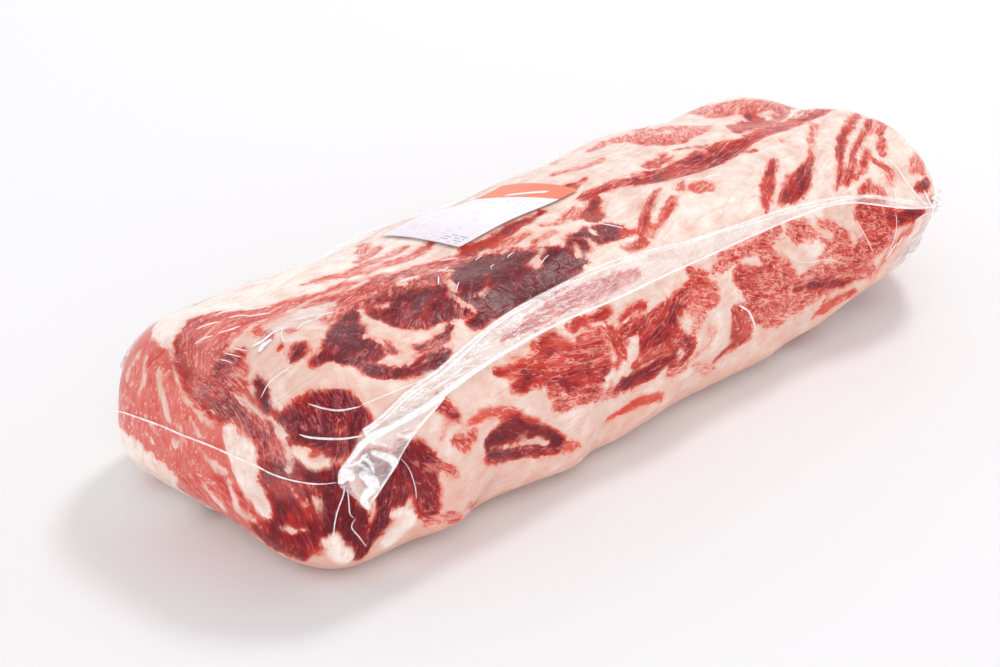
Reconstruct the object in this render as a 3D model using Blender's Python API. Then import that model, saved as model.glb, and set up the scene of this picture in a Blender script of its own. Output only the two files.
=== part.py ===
"""A boneless beef rib roast, whole, in its tight clear shrink bag, with a price label.

Units are metres, +Z is up. +X runs along the roast from its near end to its far end, -Y is its
front side. The origin is at the bottom centre of the box round every piece, and the roast lies
on the flat sole that its own weight presses.

A place on the skin is a pair (way, round). "way" is the distance along the lengthwise outline,
from the middle of the near end to the middle of the far end. "round" is the distance round the
girth, from the middle of the underside up the front, over the crown and down the back.
"""

import bpy
import numpy as np

# ---------------------------------------------------------------- driving dimensions
LENGTH = 0.433
HALF_WIDTH = (0.0804, 0.0829, 0.0812, 0.0796)      # at four even stations, near to far
HEIGHT = (0.0928, 0.0886, 0.0910, 0.0848)          # at the same stations
CROWN_LEAN = (-0.0133, -0.0164, -0.0164, -0.0175)  # how far the crown leans to the front
LEAN_FADE = 0.35                                   # how much less of that the sides take
WAIST = 0.33                                       # height of the widest line, share of height
TOP_POWER = 2.46                                   # squareness of the section over the waist
SIDE_POWER = 4.5                                   # squareness under the waist
END_DEPTH = (0.0466, 0.0484)                       # how far the rounded ends reach in
END_POWER = 2.3                                    # flatness of the end faces
END_ROUND = 3.2                                    # sharpness of the turn into the sides
END_HEIGHT = 0.45                                  # height of the middle of an end, share
END_STATION = 0.03                                 # share of the length where an end is measured
SOLE = 0.0015                                      # how much the weight presses flat

GROOVE_DEPTH = 0.004                               # between the back muscle and the front slab
GROOVE_WAY = (0.300, 0.383)                        # where it starts and ends
GROOVE_FADE = 0.012
GROOVE_ROUND = 0.203
GROOVE_WIDTH = 0.011
MUSCLE_RISE = 0.003                                # the dark muscle along the upper front
MUSCLE_PLACE = (0.205, 0.184)
MUSCLE_REACH = (0.060, 0.014)
BULGE_RISE = 0.0065                                # the front side by the far end
BULGE_PLACE = (0.453, 0.130)
BULGE_REACH = (0.031, 0.018)
HOLLOW_DEPTH = 0.0079                              # the back muscle falls away at the far end
HOLLOW_PLACE = (0.4455, 0.236)
HOLLOW_REACH = (0.042, 0.020)
LOWER_EDGE = 0.084                                 # round of the two lower edges
SCALLOP_DEPTH = 0.005                              # dents along them, each (way, reach)
SCALLOP_HEIGHT = 0.012
SCALLOPS = ((0.107, 0.019), (0.158, 0.013), (0.226, 0.011), (0.292, 0.021), (0.365, 0.015))
KEEL_START = (0.071, 0.0854)                       # x and rounded |y| where the far end lifts
KEEL_SLOPE = (0.26, 0.48)                          # rise of its underside along and across
KEEL_ROUND = 0.03                                  # roundness of its middle line
KEEL_SOFT = 0.014
SWELL = 0.0011                                     # broad uneven swells of the whole
SWELL_ALONG = (47, 83)                             # their waves, radians per metre
SWELL_ROUND = (58, 31)
SWELL_PHASE = (0.6, 1.1)
SOLE_FADE = 0.004                                  # height over which lumps fade to the sole
END_FADE = 0.06                                    # way over which they fade to the end points
NORMAL_STEP = 0.0004                               # half the span of a central difference

FILM = 0.0008                                      # thickness of the film pieces
FILM_GAP = 0.0006                                  # clearance between film and skin
PLEAT_WIDTH = 0.014                                # widest part of the lengthwise pleat
PLEAT_TIP = 0.002                                  # its width at its ends
PLEAT_STAND = (0.0, 0.0004, 0.0010)                # how far it stands off, root to free edge
WELD_WIDTH = 0.0022
WELD_HALF = 0.071                                  # half the length of an end seam
EAR_FOLDS = 3                                      # folds across each bag corner
EAR_RISE = 0.0045                                  # how high the crumpled corner stands
EAR_LIFT = 0.0004                                  # how far the rest of it stands off the film
EAR_CRUMPLE = 0.3                                  # share of its length that is crumpled
EAR_SLANT = 0.15                                   # how far its free edge starts past its root
EAR_CURVE = 1.2                                    # bend of the free edge
EAR_NECK = 0.002                                   # its width where it meets the pleat
LABEL_SIZE = (0.0765, 0.041)
LABEL_PLACE = (0.2465, 0.239)                      # way and round of its middle
LABEL_TILT = 0.2                                   # how far its ends lean, way per round
LABEL_THICKNESS = 0.0004

ROAST_RINGS = 56
ROAST_SPOKES = 56
PLEAT_ROWS = 40
EAR_GRID = (12, 7)
WELD_ROWS = 36
LABEL_GRID = (11, 8)
OUTLINE_STEPS = 400                                # steps of each measured curve
TURN_STEPS = 4000


# ---------------------------------------------------------------- the shape of the roast
def through(values, share):
    """A Catmull-Rom curve through evenly spaced values, read at share 0 to 1 of its length."""
    v = np.asarray(values, float)
    v = np.concatenate([[2 * v[0] - v[1]], v, [2 * v[-1] - v[-2]]])
    place = np.clip(np.asarray(share, float), 0, 1) * (len(v) - 3)
    i = np.minimum(place.astype(int), len(v) - 4)
    f = place - i
    a, b, c, d = v[i], v[i + 1], v[i + 2], v[i + 3]
    return 0.5 * (2 * b + (c - a) * f + (2 * a - 5 * b + 4 * c - d) * f**2
                  + (3 * b - 3 * c + d - a) * f**3)


def outline():
    """x and girth share against way: a quarter superellipse at each end and a straight run."""
    bend = np.linspace(0, np.pi / 2, OUTLINE_STEPS)
    along = 1 - np.cos(bend)**(2 / END_POWER)
    share = np.sin(bend)**(2 / END_ROUND)
    x = np.concatenate([along * END_DEPTH[0], LENGTH - along[::-1] * END_DEPTH[1]])
    girth = np.concatenate([share, share[::-1]])
    step = np.hypot(np.diff(x), np.diff(girth) * np.mean(HALF_WIDTH))
    return np.concatenate([[0], np.cumsum(step)]), x, girth


def section(angle, half_width, height, lean):
    """y and z of the section: a superellipse, squarer below its waist, with a leaning crown."""
    across = -np.sin(angle)
    up = -np.cos(angle)
    power = np.where(up >= 0, TOP_POWER, SIDE_POWER)
    side = np.sign(across) * np.abs(across)**(2 / power)
    rise = np.abs(up)**(2 / power)
    waist = WAIST * height
    z = np.where(up >= 0, waist + (height - waist) * rise, waist * (1 - rise))
    y = half_width * side + lean * np.where(up >= 0, rise, 0) * (1 - LEAN_FADE * side**2)
    return y, np.maximum(z - SOLE, 0)


def even_angles():
    """Section angle against the share of the way round, evened on the mean section."""
    angle = np.linspace(0, 2 * np.pi, TURN_STEPS + 1)
    y, z = section(angle, np.mean(HALF_WIDTH), np.mean(HEIGHT), np.mean(CROWN_LEAN))
    way = np.concatenate([[0], np.cumsum(np.hypot(np.diff(y), np.diff(z)))])
    return way / way[-1], angle, way[-1]


OUTLINE_WAY, OUTLINE_X, OUTLINE_GIRTH = outline()
ROUND_SHARE, ROUND_ANGLE, GIRTH = even_angles()
WHOLE_WAY = OUTLINE_WAY[-1]


def smooth_form(way, around):
    """Points of the roast before its lumps: the section at x, drawn in by the girth share."""
    x = np.interp(way, OUTLINE_WAY, OUTLINE_X)
    girth = np.interp(way, OUTLINE_WAY, OUTLINE_GIRTH)
    share = x / LENGTH
    angle = np.interp((around / GIRTH) % 1.0, ROUND_SHARE, ROUND_ANGLE)
    height = through(HEIGHT, share)
    y, z = section(angle, through(HALF_WIDTH, share), height, through(CROWN_LEAN, share))
    middle = END_HEIGHT * height
    return np.stack([x - LENGTH / 2, y * girth, middle + (z - middle) * girth], -1)


def facing(form, way, around):
    """Unit normals of form, from the cross product of its two central differences."""
    along = form(way + NORMAL_STEP, around) - form(way - NORMAL_STEP, around)
    across = form(way, around + NORMAL_STEP) - form(way, around - NORMAL_STEP)
    normal = np.cross(along, across)
    return normal / np.maximum(np.linalg.norm(normal, axis=-1, keepdims=True), 1e-12)


def bump(way, around, at, size):
    """A round hill of height 1 at a place, with its reach along and round in size."""
    turn = (around - at[1] + GIRTH / 2) % GIRTH - GIRTH / 2
    return np.exp(-((way - at[0]) / size[0])**2 - (turn / size[1])**2)


def relief(way, around):
    """How far the skin stands out from the smooth form: groove, muscles, dents and swells."""
    start, end = (1 / (1 + np.exp(-(way - place) / GROOVE_FADE)) for place in GROOVE_WAY)
    groove = start * (1 - end) * np.exp(-((around - GROOVE_ROUND) / GROOVE_WIDTH)**2)
    muscle = bump(way, around, MUSCLE_PLACE, MUSCLE_REACH)
    bulge = bump(way, around, BULGE_PLACE, BULGE_REACH)
    hollow = bump(way, around, HOLLOW_PLACE, HOLLOW_REACH)
    dents = 0
    for edge in (LOWER_EDGE, GIRTH - LOWER_EDGE):
        for place, reach in SCALLOPS:
            dents = dents + bump(way, around, (place, edge), (reach, SCALLOP_HEIGHT))
    swell = (np.sin(way * SWELL_ALONG[0] + SWELL_PHASE[0])
             * np.sin(around * SWELL_ROUND[0] + SWELL_PHASE[1])
             + np.sin(way * SWELL_ALONG[1] + around * SWELL_ROUND[1]))
    return (MUSCLE_RISE * muscle + BULGE_RISE * bulge + SWELL * swell
            - GROOVE_DEPTH * groove - HOLLOW_DEPTH * hollow - SCALLOP_DEPTH * dents)


def lifted(points):
    """Points raised onto the keel, which climbs to the far end and sides, by a smooth maximum."""
    along = points[..., 0] - KEEL_START[0]
    across = np.hypot(points[..., 1], KEEL_ROUND) - KEEL_START[1]
    over = KEEL_SLOPE[0] * along + KEEL_SLOPE[1] * across - points[..., 2]
    share = np.clip(0.5 + over / (2 * KEEL_SOFT), 0, 1)
    points[..., 2] += over * share + KEEL_SOFT * share * (1 - share)
    return points


def skin(way, around):
    """Points of the finished skin. The relief fades out on the sole and at the middle of an end."""
    base = smooth_form(way, around)
    fade = np.clip(base[..., 2] / SOLE_FADE, 0, 1)
    fade = fade * np.clip(np.minimum(way, WHOLE_WAY - way) / END_FADE, 0, 1)**2
    points = base + facing(smooth_form, way, around) * (relief(way, around) * fade)[..., None]
    points[..., 2] = np.maximum(points[..., 2], 0)
    return lifted(points)


def off_skin(way, around, lift):
    """Points that stand off the skin by lift, along its normals."""
    return skin(way, around) + facing(skin, way, around) * np.asarray(lift)[..., None]


def end_place(y, z, far=False):
    """The way and round of a point on an end face, given across and up on that face."""
    share = 1 - END_STATION if far else END_STATION
    height = through(HEIGHT, share)
    turn = np.linspace(0, 1, TURN_STEPS + 1)
    ring_y, ring_z = section(np.interp(turn, ROUND_SHARE, ROUND_ANGLE),
                             through(HALF_WIDTH, share), height, through(CROWN_LEAN, share))
    middle = END_HEIGHT * height
    ring_angle = np.unwrap(np.arctan2(-ring_y, middle - ring_z))
    angle = np.arctan2(-np.asarray(y), middle - np.asarray(z)) % (2 * np.pi)
    turn_here = np.interp(angle, ring_angle, turn)
    reach = np.interp(turn_here, turn, np.hypot(ring_y, ring_z - middle))
    girth = np.clip(np.hypot(y, np.asarray(z) - middle) / reach, 0, 1)
    half = len(OUTLINE_WAY) // 2
    if far:
        way = np.interp(girth, OUTLINE_GIRTH[half:][::-1], OUTLINE_WAY[half:][::-1])
    else:
        way = np.interp(girth, OUTLINE_GIRTH[:half], OUTLINE_WAY[:half])
    return way, turn_here * GIRTH


# ---------------------------------------------------------------- making objects
def material(name, colour, roughness):
    """One Principled material."""
    made = bpy.data.materials.new(name)
    made.use_nodes = True
    shader = made.node_tree.nodes["Principled BSDF"]
    shader.inputs["Base Color"].default_value = (*colour, 1)
    shader.inputs["Roughness"].default_value = roughness
    shader.inputs["Metallic"].default_value = 0
    return made


def add_object(name, points, faces, finish):
    """A smooth-shaded mesh object with one material."""
    mesh = bpy.data.meshes.new(name)
    mesh.from_pydata([tuple(p) for p in points], [], faces)
    mesh.shade_smooth()
    mesh.materials.append(finish)
    piece = bpy.data.objects.new(name, mesh)
    bpy.context.scene.collection.objects.link(piece)
    return piece


def add_roast(finish):
    """The meat in its tight bag: rings from one end to the other, closed by a fan at each end."""
    rings = np.linspace(0, WHOLE_WAY, ROAST_RINGS + 1)[1:-1]
    spokes = np.arange(ROAST_SPOKES) * GIRTH / ROAST_SPOKES
    way, around = np.meshgrid(rings, spokes, indexing="ij")
    points = skin(way, around).reshape(-1, 3)
    tips = skin(np.array([0.0, WHOLE_WAY]), np.array([0.0, 0.0]))
    near_tip = len(points)
    far_tip = near_tip + 1
    faces = []
    for j in range(ROAST_SPOKES):
        beside = (j + 1) % ROAST_SPOKES
        for i in range(len(rings) - 1):
            low = i * ROAST_SPOKES
            high = low + ROAST_SPOKES
            faces.append((low + j, high + j, high + beside, low + beside))
        last = (len(rings) - 1) * ROAST_SPOKES
        faces.append((near_tip, j, beside))
        faces.append((far_tip, last + beside, last + j))
    return add_object("rib_roast", np.vstack([points, tips]), faces, finish)


def add_sheet(name, way, around, lift, thickness, finish):
    """A grid of places, lifted off the skin and given its thickness outwards by Solidify."""
    points = off_skin(way, around, lift)
    rows, columns = way.shape
    index = np.arange(rows * columns).reshape(rows, columns)
    along = points[1:, :-1] - points[:-1, :-1]
    across = points[:-1, 1:] - points[:-1, :-1]
    outward = facing(skin, way, around)[:-1, :-1]
    if np.sum(np.cross(along, across) * outward) < 0:
        index = index[:, ::-1]
    faces = np.stack([index[:-1, :-1], index[1:, :-1], index[1:, 1:], index[:-1, 1:]], -1)
    piece = add_object(name, points.reshape(-1, 3), faces.reshape(-1, 4).tolist(), finish)
    wall = piece.modifiers.new("wall", "SOLIDIFY")
    wall.thickness = thickness
    wall.offset = 1
    return piece


def mirrored(around, back):
    """The same place on the back side, where back is true."""
    return GIRTH - around if back else around


def ribbon(edge_a, edge_b, columns):
    """A grid of places between two edges, each a pair of arrays (way, round)."""
    across = np.linspace(0, 1, columns)[None, :]
    way = edge_a[0][:, None] * (1 - across) + edge_b[0][:, None] * across
    around = edge_a[1][:, None] * (1 - across) + edge_b[1][:, None] * across
    return way, around


# ---------------------------------------------------------------- the film pieces and the label
PLEAT_WAY = (0.133, 0.462)                                  # where the pleat starts and ends
PLEAT_ROOT = (0.1515, 0.1640, 0.1620, 0.1535, 0.1475, 0.1290)  # round, at six even places
EAR_START = 0.078                                           # way from the nearer end
EAR_REACH = (0.053, 0.012)                                  # along the side, near and far ears
EAR_ROOT = (0.1335, 0.1400)                                 # round, at the two ends of its root
EAR_TIP = (0.108, 0.118)                                    # round, near and far ears
WELD_HEIGHTS = (0.049, 0.0515, 0.0490, 0.0440, 0.0350)      # from the front to the back corner


def add_pleat(name, back, finish):
    """The long pleat of spare film along a side: from its root line down to its free edge."""
    share = np.linspace(0, 1, PLEAT_ROWS)
    way = PLEAT_WAY[0] + (PLEAT_WAY[1] - PLEAT_WAY[0]) * share
    width = PLEAT_WIDTH * np.sin(np.pi * (0.1 + 0.9 * share))**0.7 + PLEAT_TIP
    root = through(PLEAT_ROOT, share)
    edges = (way, mirrored(root, back)), (way, mirrored(root - width, back))
    places = ribbon(*edges, len(PLEAT_STAND))
    lift = np.full(places[0].shape, FILM_GAP) + PLEAT_STAND
    return add_sheet(name, *places, lift, FILM, finish)


def add_ear(name, back, far, finish):
    """A corner of the bag: a flap from its root line to its tip, crumpled beside the weld."""
    rows, columns = EAR_GRID
    reach, tip = EAR_REACH[int(far)], EAR_TIP[int(far)]
    share = np.linspace(0, 1, rows)
    way = EAR_START + reach * share
    root = EAR_ROOT[0] + (EAR_ROOT[1] - EAR_ROOT[0]) * share
    low_way = EAR_START + reach * (EAR_SLANT + (1 - EAR_SLANT) * share)
    low = tip + (root[-1] - EAR_NECK - tip) * share**EAR_CURVE
    along, around = ribbon((way, root), (low_way, low), columns)
    folds = np.sin(np.linspace(0, np.pi * EAR_FOLDS, rows))[:, None]**2
    arch = np.sin(np.linspace(0, np.pi, columns + 2))[1:-1]
    crumple = np.exp(-share / EAR_CRUMPLE)[:, None] * arch
    lift = FILM_GAP + EAR_LIFT + EAR_RISE * crumple * (1 + folds) / 2
    if far:
        along = WHOLE_WAY - along
    return add_sheet(name, along, mirrored(around, back), lift, FILM, finish)


def add_weld(name, far, finish):
    """The sealed seam across an end, from the front corner to the back corner."""
    share = np.linspace(0, 1, WELD_ROWS)
    y = WELD_HALF * (2 * share - 1)
    z = through(WELD_HEIGHTS, share)
    low = end_place(y, z - WELD_WIDTH / 2, far)
    high = end_place(y, z + WELD_WIDTH / 2, far)
    places = ribbon(low, high, 2)
    return add_sheet(name, *places, np.full(places[0].shape, FILM_GAP), FILM, finish)


def add_label(finish):
    """The paper label, draped over the crown."""
    along, across = (np.linspace(-0.5, 0.5, count) * size
                     for count, size in zip(LABEL_GRID, LABEL_SIZE))
    along, across = np.meshgrid(along, across, indexing="ij")
    way = LABEL_PLACE[0] + along - across * LABEL_TILT
    lift = np.full(way.shape, FILM_GAP)
    return add_sheet("label", way, LABEL_PLACE[1] + across, lift, LABEL_THICKNESS, finish)


def stand_on_origin(pieces):
    """Move every piece so that the box round them all has its bottom centre at the origin."""
    bpy.context.view_layer.update()
    drawn = bpy.context.evaluated_depsgraph_get()
    corners = []
    for piece in pieces:
        mesh = piece.evaluated_get(drawn).to_mesh()
        flat = np.empty(len(mesh.vertices) * 3)
        mesh.vertices.foreach_get("co", flat)
        corners.append(flat.reshape(-1, 3))
    points = np.vstack(corners)
    middle = (points.min(0) + points.max(0)) / 2
    for piece in pieces:
        piece.location = (-middle[0], -middle[1], 0)


def main():
    for old in list(bpy.data.objects):
        bpy.data.objects.remove(old)
    meat = material("meat under film", (0.46, 0.07, 0.06), 0.3)
    film = material("clear film", (0.85, 0.83, 0.84), 0.2)
    seam = material("film weld", (0.9, 0.88, 0.88), 0.3)
    paper = material("label paper", (0.86, 0.86, 0.87), 0.6)
    pieces = [add_roast(meat), add_label(paper)]
    for side, back in (("front", False), ("back", True)):
        pieces.append(add_pleat("bag_pleat_" + side, back, film))
        for end, far in (("near", False), ("far", True)):
            pieces.append(add_ear("bag_ear_" + end + "_" + side, back, far, film))
    for end, far in (("near", False), ("far", True)):
        pieces.append(add_weld("bag_weld_" + end, far, seam))
    stand_on_origin(pieces)


main()
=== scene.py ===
"""A whole boneless beef rib roast in a tight clear shrink bag, with a blank price label.

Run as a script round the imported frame. Units are metres, +Z is up, +X runs along the roast from
its near end to its far end and -Y is its front side.

A place on the skin is a pair (way, round): "way" is the distance along the lengthwise outline
from the middle of the near end, and "round" is the distance round the girth from the middle of
the underside, up the front, over the crown and down the back.
"""

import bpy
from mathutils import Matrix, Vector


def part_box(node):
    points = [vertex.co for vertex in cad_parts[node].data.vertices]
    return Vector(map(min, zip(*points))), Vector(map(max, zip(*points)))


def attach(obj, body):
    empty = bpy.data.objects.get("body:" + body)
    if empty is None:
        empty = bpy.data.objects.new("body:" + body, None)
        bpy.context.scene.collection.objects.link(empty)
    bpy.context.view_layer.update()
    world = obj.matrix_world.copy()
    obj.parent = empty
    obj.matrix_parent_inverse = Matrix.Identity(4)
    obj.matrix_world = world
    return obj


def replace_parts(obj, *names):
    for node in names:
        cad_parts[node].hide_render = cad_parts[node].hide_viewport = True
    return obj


bl_info = {
    "name": "Rib roast in a shrink bag",
    "version": (1, 0, 0),
    "blender": (4, 5, 0),
    "location": "View3D > Sidebar > Roast",
    "description": "Builds a marbled rib roast, the film round it, its label and a plain stage",
    "category": "Add Mesh",
}

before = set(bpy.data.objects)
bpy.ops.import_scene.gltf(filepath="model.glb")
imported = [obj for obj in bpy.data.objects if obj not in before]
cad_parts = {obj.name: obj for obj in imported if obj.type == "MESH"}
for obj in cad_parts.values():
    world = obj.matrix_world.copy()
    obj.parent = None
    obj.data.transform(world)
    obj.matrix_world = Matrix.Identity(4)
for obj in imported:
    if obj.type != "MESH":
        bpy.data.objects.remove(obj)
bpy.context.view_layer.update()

import math

import bpy
import numpy as np
from mathutils import Vector

BODY = "root"

# ---------------------------------------------------------------- sizes of the roast
LENGTH = 0.433
HALF_WIDTH = (0.0804, 0.0829, 0.0812, 0.0796)      # at four even stations, near to far
HEIGHT = (0.0928, 0.0886, 0.0910, 0.0848)          # at the same stations
CROWN_LEAN = (-0.0133, -0.0164, -0.0164, -0.0175)  # how far the crown leans to the front
LEAN_FADE = 0.35                                   # how much less of that the sides take
WAIST = 0.33                                       # height of the widest line, share of height
TOP_POWER = 2.46                                   # squareness of the section over the waist
SIDE_POWER = 4.5                                   # squareness under the waist
END_DEPTH = (0.0466, 0.0484)                       # how far the rounded ends reach in
END_POWER = 2.3                                    # flatness of the end faces
END_ROUND = 3.2                                    # sharpness of the turn into the sides
END_HEIGHT = 0.45                                  # height of the middle of an end, share
END_STATION = 0.03                                 # share of the length where an end is measured
SOLE = 0.0015                                      # how much the weight presses flat

GROOVE_DEPTH = 0.004                               # between the back muscle and the front slab
GROOVE_WAY = (0.300, 0.383)                        # where it starts and ends
GROOVE_FADE = 0.012
GROOVE_ROUND = 0.203
GROOVE_WIDTH = 0.011
MUSCLE_RISE = 0.003                                # the dark muscle along the upper front
MUSCLE_PLACE = (0.205, 0.184)
MUSCLE_REACH = (0.060, 0.014)
BULGE_RISE = 0.0065                                # the front side by the far end
BULGE_PLACE = (0.453, 0.130)
BULGE_REACH = (0.031, 0.018)
HOLLOW_DEPTH = 0.0079                              # the back muscle falls away at the far end
HOLLOW_PLACE = (0.4455, 0.236)
HOLLOW_REACH = (0.042, 0.020)
LOWER_EDGE = 0.084                                 # round of the two lower edges
SCALLOP_DEPTH = 0.005                              # dents along them, each (way, reach)
SCALLOP_HEIGHT = 0.012
SCALLOPS = ((0.107, 0.019), (0.158, 0.013), (0.226, 0.011), (0.292, 0.021), (0.365, 0.015))
KEEL_START = (0.071, 0.0854)                       # x and rounded |y| where the far end lifts
KEEL_SLOPE = (0.26, 0.48)                          # rise of its underside along and across
KEEL_ROUND = 0.03                                  # roundness of its middle line
KEEL_SOFT = 0.014
SWELL = 0.0011                                     # broad uneven swells of the whole
SWELL_ALONG = (47, 83)                             # their waves, radians per metre
SWELL_ROUND = (58, 31)
SWELL_PHASE = (0.6, 1.1)
SOLE_FADE = 0.004                                  # height over which lumps fade to the sole
END_FADE = 0.06                                    # way over which they fade to the end points
NORMAL_STEP = 0.0004                               # half the span of a central difference
OUTLINE_STEPS = 400                                # steps of each measured curve
TURN_STEPS = 4000
CAD_RINGS = 56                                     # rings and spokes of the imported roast
CM = 0.01
MM = 0.001


# ---------------------------------------------------------------- the shape of the roast
def through(values, share):
    """A Catmull-Rom curve through evenly spaced values, read at share 0 to 1 of its length."""
    v = np.asarray(values, float)
    v = np.concatenate([[2 * v[0] - v[1]], v, [2 * v[-1] - v[-2]]])
    place = np.clip(np.asarray(share, float), 0, 1) * (len(v) - 3)
    i = np.minimum(place.astype(int), len(v) - 4)
    f = place - i
    a, b, c, d = v[i], v[i + 1], v[i + 2], v[i + 3]
    return 0.5 * (2 * b + (c - a) * f + (2 * a - 5 * b + 4 * c - d) * f**2
                  + (3 * b - 3 * c + d - a) * f**3)


def outline():
    """x and girth share against way: a quarter superellipse at each end and a straight run."""
    bend = np.linspace(0, np.pi / 2, OUTLINE_STEPS)
    along = 1 - np.cos(bend)**(2 / END_POWER)
    share = np.sin(bend)**(2 / END_ROUND)
    x = np.concatenate([along * END_DEPTH[0], LENGTH - along[::-1] * END_DEPTH[1]])
    girth = np.concatenate([share, share[::-1]])
    step = np.hypot(np.diff(x), np.diff(girth) * np.mean(HALF_WIDTH))
    return np.concatenate([[0], np.cumsum(step)]), x, girth


def section(angle, half_width, height, lean):
    """y and z of the section: a superellipse, squarer below its waist, with a leaning crown."""
    across = -np.sin(angle)
    up = -np.cos(angle)
    power = np.where(up >= 0, TOP_POWER, SIDE_POWER)
    side = np.sign(across) * np.abs(across)**(2 / power)
    rise = np.abs(up)**(2 / power)
    waist = WAIST * height
    z = np.where(up >= 0, waist + (height - waist) * rise, waist * (1 - rise))
    y = half_width * side + lean * np.where(up >= 0, rise, 0) * (1 - LEAN_FADE * side**2)
    return y, np.maximum(z - SOLE, 0)


def even_angles():
    """Section angle against the share of the way round, evened on the mean section."""
    angle = np.linspace(0, 2 * np.pi, TURN_STEPS + 1)
    y, z = section(angle, np.mean(HALF_WIDTH), np.mean(HEIGHT), np.mean(CROWN_LEAN))
    way = np.concatenate([[0], np.cumsum(np.hypot(np.diff(y), np.diff(z)))])
    return way / way[-1], angle, way[-1]


OUTLINE_WAY, OUTLINE_X, OUTLINE_GIRTH = outline()
ROUND_SHARE, ROUND_ANGLE, GIRTH = even_angles()
WHOLE_WAY = OUTLINE_WAY[-1]


def smooth_form(way, around):
    """Points of the roast before its lumps: the section at x, drawn in by the girth share."""
    x = np.interp(way, OUTLINE_WAY, OUTLINE_X)
    girth = np.interp(way, OUTLINE_WAY, OUTLINE_GIRTH)
    share = x / LENGTH
    angle = np.interp((around / GIRTH) % 1.0, ROUND_SHARE, ROUND_ANGLE)
    height = through(HEIGHT, share)
    y, z = section(angle, through(HALF_WIDTH, share), height, through(CROWN_LEAN, share))
    middle = END_HEIGHT * height
    return np.stack([x - LENGTH / 2, y * girth, middle + (z - middle) * girth], -1)


def facing(form, way, around):
    """Unit normals of form, from the cross product of its two central differences."""
    along = form(way + NORMAL_STEP, around) - form(way - NORMAL_STEP, around)
    across = form(way, around + NORMAL_STEP) - form(way, around - NORMAL_STEP)
    normal = np.cross(along, across)
    return normal / np.maximum(np.linalg.norm(normal, axis=-1, keepdims=True), 1e-12)


def bump(way, around, at, size):
    """A round hill of height 1 at a place, with its reach along and round in size."""
    turn = (around - at[1] + GIRTH / 2) % GIRTH - GIRTH / 2
    return np.exp(-((way - at[0]) / size[0])**2 - (turn / size[1])**2)


def relief(way, around):
    """How far the skin stands out from the smooth form: groove, muscles, dents and swells."""
    start, end = (1 / (1 + np.exp(-(way - place) / GROOVE_FADE)) for place in GROOVE_WAY)
    groove = start * (1 - end) * np.exp(-((around - GROOVE_ROUND) / GROOVE_WIDTH)**2)
    muscle = bump(way, around, MUSCLE_PLACE, MUSCLE_REACH)
    bulge = bump(way, around, BULGE_PLACE, BULGE_REACH)
    hollow = bump(way, around, HOLLOW_PLACE, HOLLOW_REACH)
    dents = 0
    for edge in (LOWER_EDGE, GIRTH - LOWER_EDGE):
        for place, reach in SCALLOPS:
            dents = dents + bump(way, around, (place, edge), (reach, SCALLOP_HEIGHT))
    swell = (np.sin(way * SWELL_ALONG[0] + SWELL_PHASE[0])
             * np.sin(around * SWELL_ROUND[0] + SWELL_PHASE[1])
             + np.sin(way * SWELL_ALONG[1] + around * SWELL_ROUND[1]))
    return (MUSCLE_RISE * muscle + BULGE_RISE * bulge + SWELL * swell
            - GROOVE_DEPTH * groove - HOLLOW_DEPTH * hollow - SCALLOP_DEPTH * dents)


def lifted(points):
    """Points raised onto the keel, which climbs to the far end and sides, by a smooth maximum."""
    along = points[..., 0] - KEEL_START[0]
    across = np.hypot(points[..., 1], KEEL_ROUND) - KEEL_START[1]
    over = KEEL_SLOPE[0] * along + KEEL_SLOPE[1] * across - points[..., 2]
    share = np.clip(0.5 + over / (2 * KEEL_SOFT), 0, 1)
    points[..., 2] += over * share + KEEL_SOFT * share * (1 - share)
    return points


def skin(way, around):
    """Points of the finished skin. The relief fades out on the sole and at the middle of an end."""
    base = smooth_form(way, around)
    fade = np.clip(base[..., 2] / SOLE_FADE, 0, 1)
    fade = fade * np.clip(np.minimum(way, WHOLE_WAY - way) / END_FADE, 0, 1)**2
    points = base + facing(smooth_form, way, around) * (relief(way, around) * fade)[..., None]
    points[..., 2] = np.maximum(points[..., 2], 0)
    return lifted(points)


def off_skin(way, around, lift):
    """Points that stand off the skin by lift, along its normals."""
    return skin(way, around) + facing(skin, way, around) * np.asarray(lift)[..., None]


def end_place(y, z, far=False):
    """The way and round of a point on an end face, given across and up on that face."""
    share = 1 - END_STATION if far else END_STATION
    height = through(HEIGHT, share)
    turn = np.linspace(0, 1, TURN_STEPS + 1)
    ring_y, ring_z = section(np.interp(turn, ROUND_SHARE, ROUND_ANGLE),
                             through(HALF_WIDTH, share), height, through(CROWN_LEAN, share))
    middle = END_HEIGHT * height
    ring_angle = np.unwrap(np.arctan2(-ring_y, middle - ring_z))
    angle = np.arctan2(-np.asarray(y), middle - np.asarray(z)) % (2 * np.pi)
    turn_here = np.interp(angle, ring_angle, turn)
    reach = np.interp(turn_here, turn, np.hypot(ring_y, ring_z - middle))
    girth = np.clip(np.hypot(y, np.asarray(z) - middle) / reach, 0, 1)
    half = len(OUTLINE_WAY) // 2
    if far:
        way = np.interp(girth, OUTLINE_GIRTH[half:][::-1], OUTLINE_WAY[half:][::-1])
    else:
        way = np.interp(girth, OUTLINE_GIRTH[:half], OUTLINE_WAY[:half])
    return way, turn_here * GIRTH


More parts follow.
